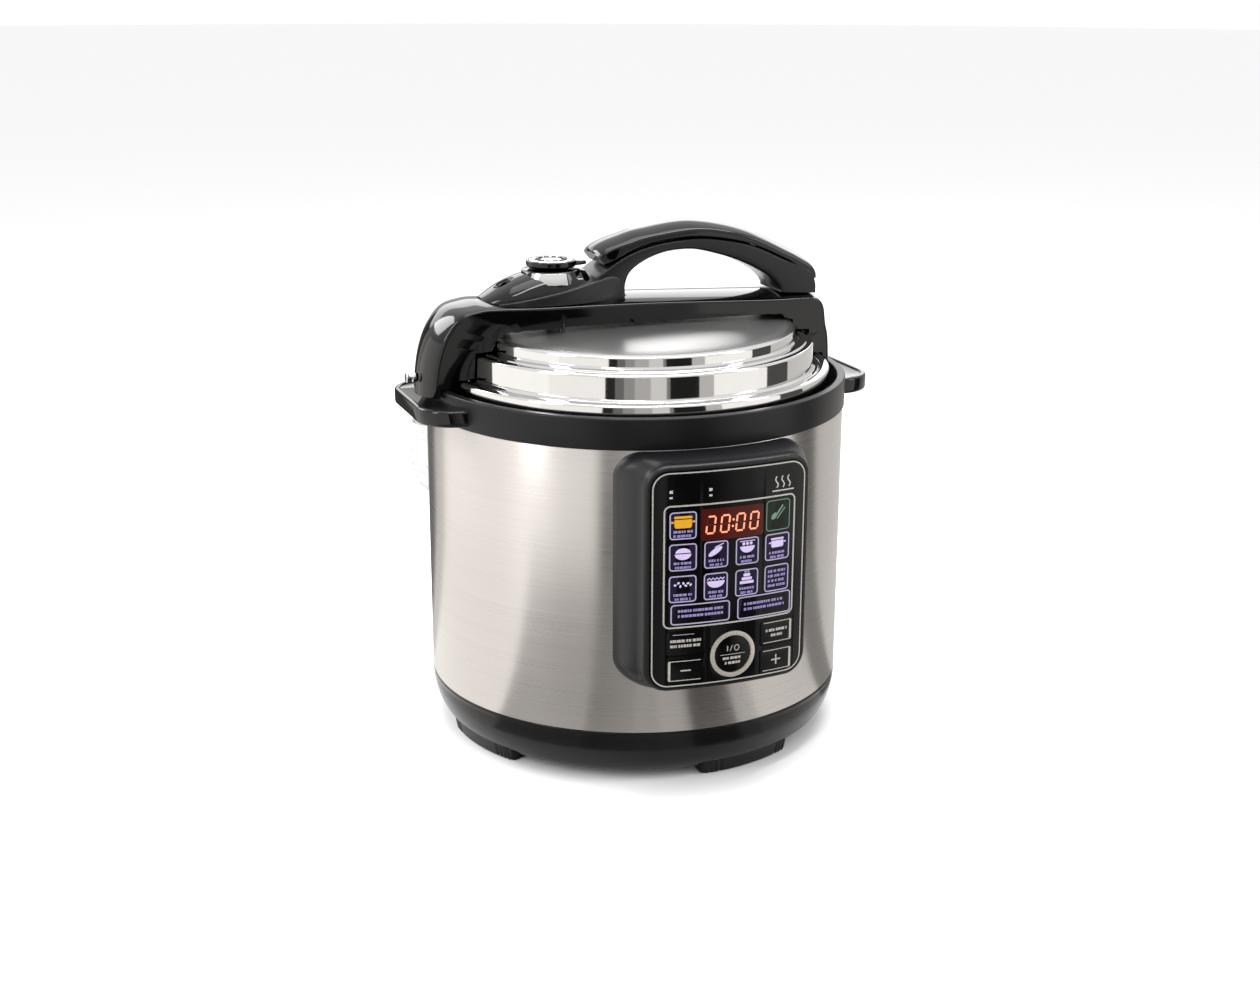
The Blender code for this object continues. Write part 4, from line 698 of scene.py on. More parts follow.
# ---- inside the body ----------------------------------------------------------------------------
class MakeInside(bpy.types.Operator):
    """Pressure liner, bayonet flange, heater plate, sensor, pot and sealing ring"""
    bl_idname = "cooker.make_inside"
    bl_label = "Liner, heater and pot"

    def execute(self, context):
        wall, hole, top = 1, 30, FLANGE_LOW - CLEAR
        inner = LINER_R - wall
        turned("liner_shell", rounded([
            (hole, LINER_LOW), (LINER_R - 6, LINER_LOW, 7), (LINER_R, LINER_LOW + 9, 6),
            (LINER_R, top), (inner, top), (inner, LINER_LOW + 9.6, 5),
            (inner - 6, LINER_LOW + wall, 6), (hole, LINER_LOW + wall)], 8),
            "pressed_stainless", "housing", "plain_steel", "pressure_liner")
        fit(solid("flange_ring", self.flange(inner)), "pressed_stainless", "housing", "plain_steel",
            "bayonet_flange")
        self.heater()
        self.sensor_coil()
        self.pot()
        return {"FINISHED"}

    def flange(self, bore):
        """A flat ring with six teeth, each half of its pitch wide, with eased corners."""
        steps, teeth, depth = 360, 6, 2
        outer = []
        for i in range(steps):
            phase = (i * teeth / steps + 0.25) % 1
            edge = min(phase, 1 - phase, abs(phase - 0.5)) * 60
            rise = min(1, edge / 1.6)
            outer.append(FLANGE_R - depth * (1 - rise if phase < 0.5 else 1))
        angles = [2 * math.pi * i / steps for i in range(steps)]
        levels = [(outer, -0.3, FLANGE_LOW), (outer, 0, FLANGE_LOW + 0.3),
                  (outer, 0, FLANGE_HIGH - 0.3), (outer, -0.3, FLANGE_HIGH),
                  ([bore] * steps, 0.3, FLANGE_HIGH), ([bore] * steps, 0, FLANGE_HIGH - 0.3),
                  ([bore] * steps, 0, FLANGE_LOW)]
        return loft([[((r + grow) * math.cos(a), (r + grow) * math.sin(a), z)
                      for r, a in zip(radii, angles)] for radii, grow, z in levels], closed=True)

    def heater(self):
        """The cast plate, and the sensor's cap and cup in its bore."""
        top, bore = high("heater_plate").z, 11.5
        bottom = top - 9.5
        turned("heater_casting", rounded([
            (bore, bottom), (PLATE_R - 6, bottom, 2), (PLATE_R, bottom + 4, 2), (PLATE_R, top, 1.2),
            (bore, top, 0.8)]), "cast_aluminium", "housing", "cast_aluminium", "heater_plate")
        cap, r, skin = high("sensor_cap").z, high("sensor_cap").x, 1.5
        turned("sensor_button", rounded([
            (0, cap), (0, cap - 1), (r - skin, cap - 1), (r - skin, cap - 9), (r, cap - 9),
            (r, cap, 1.4)]), "pressed_stainless", "sensor", "brass", "sensor_cap", steps=72)
        base = low("sensor_holder").z
        turned("sensor_cup", rounded([
            (r + CLEAR, base + 2), (r + CLEAR, cap - 6), (r + 2, cap - 6, 0.4), (r + 2, base, 1),
            (0, base), (0, base + 2)]), "pressed_stainless", "housing", "plain_steel", "sensor_holder",
            steps=72)

    def sensor_coil(self):
        """A wire coil under the sensor's cap, on its own mesh; the real one shortens as the cap goes down."""
        foot, head = low("sensor_spring").z, high("sensor_spring").z
        wire, turns, steps, travel = 0.5, 4, 32, 3
        coil, rings = high("sensor_spring").x - wire, []
        for i in range(turns * steps + 1):
            a = 2 * math.pi * i / steps
            z = foot + wire + (head - foot - 2 * wire) * i / (turns * steps)
            section = [(coil + wire * math.cos(b), z + wire * math.sin(b))
                       for b in (2 * math.pi * k / 12 for k in range(12))]
            rings.append([(r * math.cos(a), r * math.sin(a), h) for r, h in section])
        spring = solid("sensor_coil", loft(rings))
        fit(spring, "pressed_stainless", "sensor", "plain_steel", "sensor_spring")
        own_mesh(spring)

    def pot(self):
        """The pot with its level marks, and the sealing ring over its rim."""
        wall, turn, r, seal = 1.2, 14, 110, 107.5
        outline = rounded([
            (0, POT_FLOOR), (r, POT_FLOOR, turn), (r, POT_RIM_TOP - wall, 1.5),
            (POT_RIM_R, POT_RIM_TOP - wall, 0.5), (POT_RIM_R, POT_RIM_TOP, 0.6),
            (r - wall, POT_RIM_TOP, 1.8), (r - wall, POT_FLOOR + wall, turn - wall),
            (0, POT_FLOOR + wall)], 10)
        turned("cooking_pot", outline, "non_stick", "pot", "coated_aluminium", "inner_pot")
        near, far = r - wall - 0.12, r - wall + 0.2
        for k in range(6):
            z = POT_FLOOR + 30 + 20 * k
            turned(f"pot_level_mark_{k + 1}", [(near, z), (far, z), (far, z + 0.7), (near, z + 0.7)],
                   "pale_ink", "pot", "coated_aluminium", steps=8, first=84, turn=6 + 4 * (k % 2))
        turned("silicone_ring", rounded([
            (seal, SEAL_LOW + 3, 0.8), (seal + 3, SEAL_LOW, 1), (POT_RIM_R, SEAL_LOW, 1.5),
            (POT_RIM_R, SEAL_HIGH, 1), (seal + 3, SEAL_HIGH, 1), (seal + 3, SEAL_LOW + 5.4, 0.8),
            (seal, SEAL_LOW + 5, 0.8)]), "milky_silicone", "seal", "silicone", "sealing_ring")


# ---- lid ----------------------------------------------------------------------------------------
class MakeLid(bpy.types.Operator):
    """Polished lid skin, its pan, lugs and the pieces under it"""
    bl_idname = "cooker.make_lid"
    bl_label = "Lid"

    def execute(self, context):
        s, t = sizes(), 1
        top, step, ledge = s.lid_top_r, s.lid_step_r, s.lid_step_z
        edge, rim = LID_HIGH - 3.7, LID_LOW + 7.2
        dome = [(top * k / 12 * 0.95, LID_HIGH - 3.3 * (k / 12) ** 2) for k in range(13)]
        outer = rounded(
            dome
            + [(top - 3.2, edge, 1), (top, edge - 0.9, 1.6),
               (top, ledge + 1.6, 1), (top + 1.4, ledge - 0.3, 0.5),
               (top + 3, ledge + 0.9, 0.8), (step - 5, ledge + 0.5, 0.6),
               (step - 4.2, ledge - 0.4, 0.4), (step, ledge - 0.9, 1.9),
               (step, rim + 2.6, 0.8), (step + 1.5, rim + 1.2, 0.4),
               (step + 3.4, rim + 1.3, 0.6), (step + 4, rim + 0.3, 0.3),
               (step + 5.2, rim + 2.3, s.bead), (LID_R - 0.6, rim + 1.3, 1.6),
               (LID_R, LID_LOW, 0.3), (LID_R - t, LID_LOW, 0.3),
               (LID_R - t - 0.6, rim - 0.4, 1), (step - t, rim - 0.4, 1),
               (step - t, ledge - 2, 1.2), (top - t, ledge - 1.6, 1),
               (top - t, edge - 2.4, 1), (0, LID_HIGH - 4.4)], 5)
        skin = solid("lid_shell", lathe(outer, steps=300), angle=50)
        for x, radius in ((VENT_X, 4.8), (FLOAT_X, 3.4)):
            drill(skin, x, radius, ledge, LID_HIGH + 9)
        fit(skin, "lid_stainless", "lid", "polished_steel", "lid_skin")
        self.pan()
        return {"FINISHED"}

    def pan(self):
        """The pan with its six lugs, the ring's rack and its nut, and the shield round the vent."""
        wall, bottom = 1.2, PAN_TOP - 1.2
        pan = solid("lid_pan_shell", lathe(rounded([
            (0, bottom), (SKIRT_R - wall, bottom, 1.4), (SKIRT_R - wall, SKIRT_LOW, 0.3),
            (SKIRT_R, SKIRT_LOW, 0.3), (SKIRT_R, PAN_TOP, 2), (0, PAN_TOP)])))
        for x, radius in ((VENT_X, 4.3), (FLOAT_X, 3.4)):
            drill(pan, x, radius, bottom - 1, PAN_TOP + 1)
        fit(pan, "pressed_stainless", "lid", "plain_steel", "lid_pan")
        lug_low, lug_high = FLANGE_LOW - 2.8, FLANGE_LOW - 0.5
        for k in range(6):
            lug = rounded([(FLANGE_R + 0.4, lug_low, 0.5), (SKIRT_R - wall + 0.2, lug_low),
                           (SKIRT_R - wall + 0.2, lug_high), (FLANGE_R + 0.4, lug_high, 0.5)])
            turned(f"lid_lug_{k + 1}", lug, "pressed_stainless", "lid", "plain_steel",
                   steps=20, first=60 * k - 9, turn=18)
        rack_low, rack_r = low("seal_rack").z, high("seal_rack").x
        rack = solid("seal_disc", lathe(rounded([
            (3.6, rack_low), (rack_r, rack_low, 0.4), (rack_r, rack_low + wall, 0.4),
            (rack_r - 9, rack_low + wall), (3.6, rack_low + wall)])))
        for x, radius in ((VENT_X, 13), (FLOAT_X, 9)):
            drill(rack, x, radius, rack_low - 1, rack_low + 3, 48)
        fit(rack, "pressed_stainless", "lid", "plain_steel", "seal_rack")
        stud_low = rack_low - 4.8
        turned("rack_nut", rounded([
            (0, stud_low), (6, stud_low, 1.2), (6, rack_low - CLEAR, 0.5),
            (3.2, rack_low - CLEAR), (3.2, bottom + 0.5), (0, bottom + 0.5)]),
            "pressed_stainless", "lid", "plain_steel", steps=72)
        shield_low, r = low("anti_block_shield").z, 11
        shield = solid("vent_shield", lathe(rounded([
            (0, shield_low), (r, shield_low, 3), (r, bottom - CLEAR), (r - 1, bottom - CLEAR),
            (r - 1, shield_low + 1, 2), (0, shield_low + 1)]),
            centre=(VENT_X, 0), steps=72))
        slot = prism(round_rect(0.9, -4, 4, 0.8, 4), 0, r + 4, "Y")
        for k in range(10):
            combine(shield, moved(slot, (VENT_X, 0, (shield_low + bottom) / 2), 36 * k))
        fit(shield, "pressed_stainless", "lid", "plain_steel", "anti_block_shield")


class MakeSpine(bpy.types.Operator):
    """Gloss black spine over the lid, with its peg and rest pin"""
    bl_idname = "cooker.make_spine"
    bl_label = "Spine"

    def execute(self, context):
        s = sizes()
        top, under, half = s.beam_top - 1, s.beam_low - 1, BEAM_HALF - 0.1
        left, right, foot = BEAM_LEFT, BEAM_RIGHT, BEAM_FOOT
        spine = solid("lid_spine", bar([
            (left, foot, -120, foot, half - 6, 7, 4, 1),
            (left + 0.6, 242, -114, 240, half - 5, 7, 4, 1),
            (left + 3.6, 258, -108, 252, half - 3.5, 6.5, 4, 1),
            (left + 9.4, 272, -102, 262, half - 2, 6, 3.5, 1),
            (left + 19.5, 282.6, -96, under, half - 0.6, 4.5, 3, 1),
            (left + 33, 286.6, -88, under, half, 3.6, 2.4, 1),
            (left + 47, top + 1.6, -85, under, half, 3.4, 2.2, 1),
            (-60, top + 1, -60, under, half, 3.2, 2, 1),
            (0, top, 0, under, half, 3.2, 2, 1),
            (50, top - 2, 50, under, half, 3.2, 2, 1),
            (88, top - 3.6, 84, under, half, 3.2, 2, 1),
            (108, top - 4.6, 93, under, half - 0.2, 3.4, 2, 1),
            (119, top - 5.4, 96, under - 3, half - 0.5, 3.6, 2, 1),
            (124.6, top - 7.4, 98, under - 6, half - 1, 4, 2, 1),
            (right - 9.2, 273.4, 101, 261, half - 1.4, 4.4, 2.2, 1),
            (right - 6, 262, 105, 254, half - 2.4, 5.4, 2.6, 1),
            (right - 2.6, 252, 110, 246, half - 4, 6, 3, 1),
            (right, foot + 1, 118, foot + 1, half - 5, 7, 3, 1)], 6), angle=45)
        combine(spine, lathe(self.lid_room(), steps=144))
        notch = rounded([(-58.5, 240), (-12, 240), (-10.5, s.beam_low + 3.4, 2),
                         (-58.5, s.beam_low + 3.4, 1)], 4)
        combine(spine, prism(notch, -40, -BEAM_HALF + 3.37, "Y"))
        groove = round_rect(0.35, s.beam_low - 2, top - 4.2, 0.1, 1, -58.9)
        combine(spine, prism(groove, -BEAM_HALF - 1, -BEAM_HALF + 1.1, "Y"))
        for x, radius in ((VENT_X, 5), (FLOAT_X, 3.6)):
            drill(spine, x, radius, 250, 300)
        fit(spine, "piano_black_abs", "lid", "gloss_black_plastic", "spine_beam")

        turned("spine_peg", rounded([(0, LID_HIGH - 1.5), (2, LID_HIGH - 1.5, 0.4),
                                     (2.2, s.beam_low + 6), (0, s.beam_low + 6)]),
               "piano_black_abs", "lid", "gloss_black_plastic", steps=32, centre=(-58, -BEAM_HALF + 3))
        pin = lathe(rounded([(0, 0), (3.2, 0, 0.3), (3.2, 2, 0.5), (2.3, 2.5, 0.3), (2.3, 4.4, 0.3),
                             (3.4, 5, 0.5), (3.4, 6.2, 0.6), (0, 6.2)]), steps=48)
        fit(solid("rest_pin", moved(pin, (BEAM_LEFT + 0.2, 0, 241), -90, "Y")), "polished_stainless",
            "lid", "gloss_black_plastic", "lid_rest_pin")
        return {"FINISHED"}

    def lid_room(self):
        """What the spine must stay clear of: the lid, and the collar's top edge as the lid turns."""
        s, gap = sizes(), 0.9
        top, step, brim = s.lid_top_r + gap, s.lid_step_r + gap, LID_R + gap
        return [(0, 0), (0, s.beam_low), (s.lid_top_r - 15.7, s.beam_low),
                (s.lid_top_r - 6.1, LID_HIGH - 1.3), (top, LID_HIGH - 3.6), (top, s.lid_step_z + 2),
                (step, s.lid_step_z + 1), (step, LID_LOW + 10.5), (brim, LID_LOW + 9.5),
                (brim, COLLAR_TOP + 1), (COLLAR_R + 1.2, COLLAR_TOP + 1), (COLLAR_R + 1.2, 0)]


class MakeGrip(bpy.types.Operator):
    """Arched grip: charcoal lower half, gloss cover and the wedge that carries it to the vent"""
    bl_idname = "cooker.make_grip"
    bl_label = "Grip"

    def execute(self, context):
        rise, wide, seat = GRIP_TOP, GRIP_HALF, sizes().beam_top - 0.5
        arch = solid("grip_arch", bar([
            (-54, seat + 1, -12, seat, wide, 1, 1.5, 2), (-41, 294, -12.8, 291, wide, 1, 1.5, 3),
            (-28, 303, -9, 301, wide, 1, 1.5, 4), (-11, 313, 2, 308.6, wide, 1, 1.5, 4),
            (10, rise - 12, 17, 313.2, wide, 1, 1.5, 4), (36, rise - 9.6, 34, rise - 17.2, wide, 1, 1.5, 3.4),
            (58, rise - 12, 52, 309.6, wide, 1, 1.5, 3.6), (78, rise - 17, 68, 304, wide, 1, 1.5, 4),
            (100, rise - 27, 84, 296, wide, 1, 1.5, 4), (117.6, 296, 92, 290, wide, 1, 1.5, 3),
            (122.4, 288, 96, 285, wide, 1, 1.2, 2), (122.8, seat - 6, 96.6, seat - 4, wide, 1, 1, 1)],
            7, 5), angle=50)
        fit(arch, "charcoal_abs", "lid", "satin_black_plastic", "grip_lower")
        cover = solid("grip_cover", bar([
            (-31.2, 313.4, -26, 306.8, wide - 2.4, 2, 2, 1),
            (-29.4, 316.4, -22, 308.6, wide - 0.8, 3, 2.4, 1),
            (-23, 320, -15, 312, wide, 3.6, 2.8, 1), (-13, rise - 7.6, -8, 315.4, wide, 4, 3, 1),
            (4, rise - 3.4, 8, rise - 10.9, wide, 4.2, 3.2, 1), (38, rise, 37, rise - 8.9, wide, 4.4, 3.2, 1),
            (74, rise - 6.8, 71, rise - 14.6, wide, 4.2, 3.2, 1),
            (103, rise - 20, 98, rise - 26, wide, 4, 3, 1),
            (115, 304.4, 108.6, 298.6, wide, 3.6, 2.6, 1), (120.6, 300.4, 114.6, 294.4, wide - 0.2, 3, 2, 1),
            (123, 296, 117.6, 291.4, wide - 0.6, 2, 1.4, 0.6),
            (123.6, 291.6, 118.6, 288.6, wide - 1, 1.4, 0.8, 0.4)], 7), angle=50)
        fit(cover, "piano_black_abs", "lid", "gloss_black_plastic", "grip_upper")
        base = seat + 0.2
        root = solid("grip_root", bar([
            (x, base + tall, x, base - deep, half, crown, edge, 0.2) for x, tall, deep, half, crown, edge in (
                (-97, 0.9, 1.6, 20, 1, 0.6), (-84, 3.4, 2, 24, 1.4, 1), (-66, 6.6, 2, 25, 1.8, 1.4),
                (-48, 10, 2, 24, 2, 1.6), (-32, 13.5, 2, 21, 2, 1.6), (-20, 15, 2, 17.6, 2, 1.6),
                (-13.4, 10, 2, 16.8, 2, 1.6))], 6), angle=50)
        for x, radius in ((VENT_X, 9), (FLOAT_X, 4.6)):
            drill(root, x, radius, 260, 330, 40)
        fit(root, "charcoal_abs", "lid", "satin_black_plastic")
        return {"FINISHED"}


class MakeVent(bpy.types.Operator):
    """Vent fairing, its silver band, the dial with its plate and lever, and the float's window"""
    bl_idname = "cooker.make_vent"
    bl_label = "Steam vent"

    def execute(self, context):
        base = sizes().beam_top + 0.9
        rings = []
        for x, tall, half in through([
                (-104, 0.6, 9), (-101, 2.4, 13), (-96, 5.4, 17), (-90, 8.8, 20), (-82, 12.2, 22.4),
                (-74, 14.8, 23), (-66, 16.4, 23), (-57, 17, 23), (-48, 17, 22.6), (-41, 16.4, 21),
                (-36, 15, 18.6)], 5):
            arc = [(half * math.sin(t), tall * max(0.0, math.cos(t)) ** 0.62)
                   for t in (math.radians(-90 + 180 * k / 36) for k in range(37))]
            rings.append([(x, y, base - 3.2 + z * (1 + 3.2 / tall)) for y, z in arc])
        pod = solid("vent_pod", loft(rings), angle=50)
        neck = rounded([(0, base), (DIAL_R + 5.8, base), (DIAL_R + 5.4, base + 9, 1),
                        (DIAL_R + 2.4, DIAL_LOW - 1.2, 2), (DIAL_R - 3, DIAL_LOW - 0.8),
                        (0, DIAL_LOW - 0.8)], 6)
        combine(pod, lathe(neck, centre=(VENT_X, 0), steps=96), "UNION")
        dent = ellipse((0, 0), 8, 6.4, 48)
        bowl = loft([[(u * g, v * g, h) for u, v in dent]
                     for h, g in ((-1.6, 0.6), (-1.0, 0.82), (0.6, 0.96), (6, 1.06))])
        combine(pod, moved(bowl, (-88.5, 0, base + 9.2), -28, "Y"))
        drill(pod, FLOAT_X, 4.2, base - 9, base + 30)
        drill(pod, VENT_X, 8, base - 9, base + 40)
        fit(pod, "piano_black_abs", "lid", "gloss_black_plastic", "vent_fairing")

        band = rounded([(DIAL_R + 5.75, base + 9.0, 0.2), (DIAL_R + 6.25, base + 8.9, 0.2),
                        (DIAL_R + 3.7, base + 15.9, 0.2), (DIAL_R + 2.9, base + 15.9, 0.2)], 3)
        turned("vent_band", band, "polished_stainless", "lid", "polished_steel", "vent_label",
               centre=(VENT_X, 0), steps=48, first=-146, turn=66)
        self.dial()
        return {"FINISHED"}

    def dial(self):
        """The dial with its lever, its bright cap and the marks round it."""
        r, bottom, top, bore, centre = DIAL_R, DIAL_LOW, DIAL_HIGH, 5, (VENT_X, 0)
        dial = solid("dial_body", lathe(rounded([
            (bore, bottom), (r - 1.4, bottom, 0.5), (r, bottom + 1.4, 0.8), (r, top, 0.7),
            (r - 1.5, top, 0.3), (r - 1.5, top - 1), (bore, top - 1)]), centre=centre, steps=120))
        lever = [(VENT_X + r + out, bottom + high_z, VENT_X + r + out, bottom + low_z, half, 0.4, edge, 0.6)
                 for out, high_z, low_z, half, edge in ((-2, 3.4, 0.2, 3.6, 1), (3, 3.0, 0.3, 2.8, 1),
                                                        (6.8, 2.6, 0.6, 2.2, 0.8))]
        combine(dial, bar(lever, 5), "UNION")
        fit(dial, "piano_black_abs", "vent", "satin_black_plastic", "vent_dial")
        cap = top + 0.5
        turned("dial_cap", rounded([
            (0, top - 0.7), (r - 1.8, top - 0.7), (r - 1.8, cap - 0.2, 0.5), (r - 4, cap, 0.3),
            (r - 4.6, cap - 0.35, 0.2), (r - 9.6, cap - 0.35, 0.2), (r - 10.2, cap, 0.3), (0, cap)]),
            "polished_stainless", "vent", "polished_steel", "dial_plate", centre=centre, steps=120)
        for k in range(12):
            a = math.radians(30 * k)
            tick = prism(round_rect(1.1 if k % 3 else 1.9, -1.4, 1.4, 0.5, 4), cap - 0.5, cap + 0.1)
            place = (VENT_X + (r - 7.1) * math.cos(a), (r - 7.1) * math.sin(a), 0)
            fit(solid(f"dial_tick_{k + 1}", moved(tick, place, 30 * k)), "moulded_black_abs", "vent",
                "polished_steel")


# ---- control panel ------------------------------------------------------------------------------
def face_y(x, depth=0.0):
    """Depth of the panel's face at x, or of a surface that lies behind it."""
    curve = sizes().panel_curve
    return curve - PANEL_REACH - math.sqrt((curve - depth) ** 2 - x * x)


def panel_plate(name, outline, front, back):
    """A plate with the panel's curve, cut to an (x, z) outline."""
    curve = sizes().panel_curve
    span = math.degrees(math.asin((PANEL_HALF + 8) / (curve - back)))
    layer = [(curve - back, PANEL_LOW - 9), (curve - front, PANEL_LOW - 9),
             (curve - front, PANEL_HIGH + 9), (curve - back, PANEL_HIGH + 9)]
    piece = solid(name, prism(outline, -PANEL_REACH - 9, -PANEL_REACH + 16, "Y"))
    combine(piece, lathe(layer, (0, curve - PANEL_REACH), 96, -90 - span, 2 * span), "INTERSECT")
    return piece


def pane(corners, grow=0.0, corner=2.0):
    """The rounded (x, z) outline of a box on the panel, grown all round."""
    a, b = corners
    return round_rect((b.x - a.x) / 2 + grow, a.z - grow, b.z + grow, corner, 6, (a.x + b.x) / 2)


def middle_of(node):
    """The (x, z) middle of a node on the panel, with half its width and half its height."""
    a, b = box(node)
    return (a.x + b.x) / 2, (a.z + b.z) / 2, (b.x - a.x) / 2, (b.z - a.z) / 2


class Print:
    """Flat shapes of ink or film on the panel's face, gathered into one closed mesh."""

    def __init__(self, lift, thick=0.05):
        self.lift, self.thick = lift, thick
        self.points, self.faces = [], []

    def patch(self, outline):
        """A filled outline."""
        start, n = len(self.points), len(outline)
        for lift in (self.lift, self.lift + self.thick):
            self.points += [(u, face_y(u) - lift, v) for u, v in outline]
        self.faces += [tuple(range(start, start + n)), tuple(range(start + 2 * n - 1, start + n - 1, -1))]
        for i in range(start, start + n):
            j = start + (i - start + 1) % n
            self.faces.append((i, j, j + n, i + n))

    def line(self, path, width, closed=False):
        """A ribbon along a path; its long spans are split so that they follow the panel's curve."""
        route = []
        for a, b in zip(path, path[1:] + path[:1] if closed else path[1:]):
            count = max(1, int((abs(b[0] - a[0]) + WELD) / 4))
            route += [(a[0] + (b[0] - a[0]) * i / count, a[1] + (b[1] - a[1]) * i / count)
                      for i in range(count)]
        route += [] if closed else [path[-1]]
        n, start = len(route), len(self.points)
        near, far = self.lift, self.lift + self.thick
        for i, here in enumerate(route):
            before = route[i - 1] if closed or i else here
            after = route[(i + 1) % n] if closed or i < n - 1 else here
            way = (Vector(after) - Vector(before)).normalized()
            side = Vector((-way.y, way.x)) * width / 2
            for sign, lift in ((1, near), (1, far), (-1, far), (-1, near)):
                u, v = here[0] + sign * side.x, here[1] + sign * side.y
                self.points.append((u, face_y(u) - lift, v))
        for i in range(n if closed else n - 1):
            a, b = start + 4 * i, start + 4 * ((i + 1) % n)
            self.faces += [(a + k, a + (k + 1) % 4, b + (k + 1) % 4, b + k) for k in range(4)]
        if not closed:
            end = start + 4 * (n - 1)
            self.faces += [(start, start + 1, start + 2, start + 3), (end + 3, end + 2, end + 1, end)]

    def words(self, centre, half, height, tall, seed):
        """A row of short dashes that stands in for a line of lettering."""
        chance = random.Random(seed)
        u, right = centre - half, centre + half
        while u < right - 0.6:
            run = min(chance.uniform(0.8, 2.4), right - u)
            self.patch([(u, height), (u + run, height), (u + run, height + tall), (u, height + tall)])
            u += run + chance.choice((0.35, 0.35, 0.9))

    def show(self, name, look, body="housing", slot="display_window", drop=0.0):
        """Turn what was gathered into a piece, set back by the drop."""
        points = [(x, y + drop, z) for x, y, z in self.points]
        return fit(solid(name, (points, self.faces)), look, body, slot)


class MakePanel(bpy.types.Operator):
    """Control housing, fascia, display window and keys"""
    bl_idname = "cooker.make_panel"
    bl_label = "Control panel"

    def execute(self, context):
        self.housing()
        outline = round_rect(PANEL_HALF, PANEL_LOW, PANEL_HIGH, sizes().panel_corner, 12)
        fascia = panel_plate("fascia_plate", outline, 0, 2)
        window = box("display_window")
        window[0].z += 1.7
        window[1].z -= 1.7
        u, v, ring_r, _ = middle_of("power_key_ring")
        flat_keys = ("key_minus", "key_plus", "key_select", "key_timer")
        holes = [pane(window, CLEAR, 1.5)] + [pane(box(key), CLEAR) for key in flat_keys]
        for hole in holes + [ellipse((u, v), ring_r + CLEAR, ring_r + CLEAR, 72)]:
            combine(fascia, prism(hole, -200, -100, "Y"))
        soften(fascia, 0.25, 2)
        fit(fascia, "fascia_acrylic", "housing", "gloss_black_plastic", "fascia")

        fit(panel_plate("display_glass", pane(window, 0, 1.5), 0.1, 2), "tinted_window", "housing",
            "display_window", "display_window")
        ring = panel_plate("power_ring", ellipse((u, v), ring_r, ring_r, 96), -0.3, 2)
        combine(ring, prism(ellipse((u, v), 11.9, 11.9, 96), -200, -100, "Y"))
        soften(ring, 0.35, 3)
        fit(ring, "plated_trim", "housing", "polished_steel", "power_key_ring")
        for node in (*flat_keys, "key_power"):
            outline = pane(box(node))
            if node == "key_power":
                u, v, half, tall = middle_of(node)
                outline = ellipse((u, v), half + 0.8, tall + 0.8, 72)
            name = node.replace("key_", "") + "_key"
            key = panel_plate(name + "_cap", outline, 0.2, 3)
            soften(key, 0.25, 2)
            fit(key, "fascia_acrylic", name, "satin_black_plastic", node)
        return {"FINISHED"}

    def housing(self):
        """Rings from the steel out to the rim, over it and back inside, joined end to end."""
        hold, corner = PANEL_HALF + 0.4, sizes().panel_corner + 0.4
        bottom, top = PANEL_LOW - 0.4, PANEL_HIGH + 0.4
        low_gap, high_gap, side = bottom - BOX_LOW, BOX_HIGH - top, BOX_HALF - hold

        def shell_y(x):
            return -math.sqrt((BODY_R + CLEAR) ** 2 - x * x)

        def row(half, grow_low, grow_high, radius, y_of):
            arc = round_rect(half, bottom - grow_low, top + grow_high, radius, 10)
            outline = []
            for p, q in zip(arc, arc[1:] + arc[:1]):
                count = 10 if abs(q[0] - p[0]) > 20 else 1
                outline += [(p[0] + (q[0] - p[0]) * i / count, p[1] + (q[1] - p[1]) * i / count)
                            for i in range(count)]
            return [(u, y_of(u), v) for u, v in outline]

        def between(share, depth):
            return lambda x: (1 - share) * shell_y(x) + share * face_y(x, depth)

        rows = [row(BOX_HALF, low_gap, high_gap, corner + 5, shell_y)]
        for t in (k / 8 for k in range(1, 9)):
            pull = t ** 2.2
            rows.append(row(BOX_HALF - (side - 3.4) * pull, low_gap - (low_gap - 2.4) * pull,
                            high_gap - (high_gap - 3.2) * pull, corner + 5 - t, between(t * 0.86, 1.6)))
        for k in range(1, 8):
            a = math.radians(90 * k / 7)
            fall = 1 - math.cos(a)
            rows.append(row(hold + 3.4 - 2.6 * fall, 2.4 - 1.6 * fall, 3.2 - 2.2 * fall,
                            corner + 4 - 2.4 * k / 7, between(0.86 + 0.14 * math.sin(a), 0.2)))
        for inset, depth in ((0, 0.4), (0, 2.6), (1.2, 2.6), (1.2, 5)):
            rows.append(row(hold - inset, -inset, -inset, corner - inset, lambda x: face_y(x, depth)))
        rows.append(row(BOX_HALF - 2.4, low_gap - 2.4, high_gap - 2.4, corner + 3, shell_y))
        fit(solid("panel_box", loft(rows, closed=True), angle=50), "panel_box_abs", "housing",
            "satin_black_plastic", "control_housing")


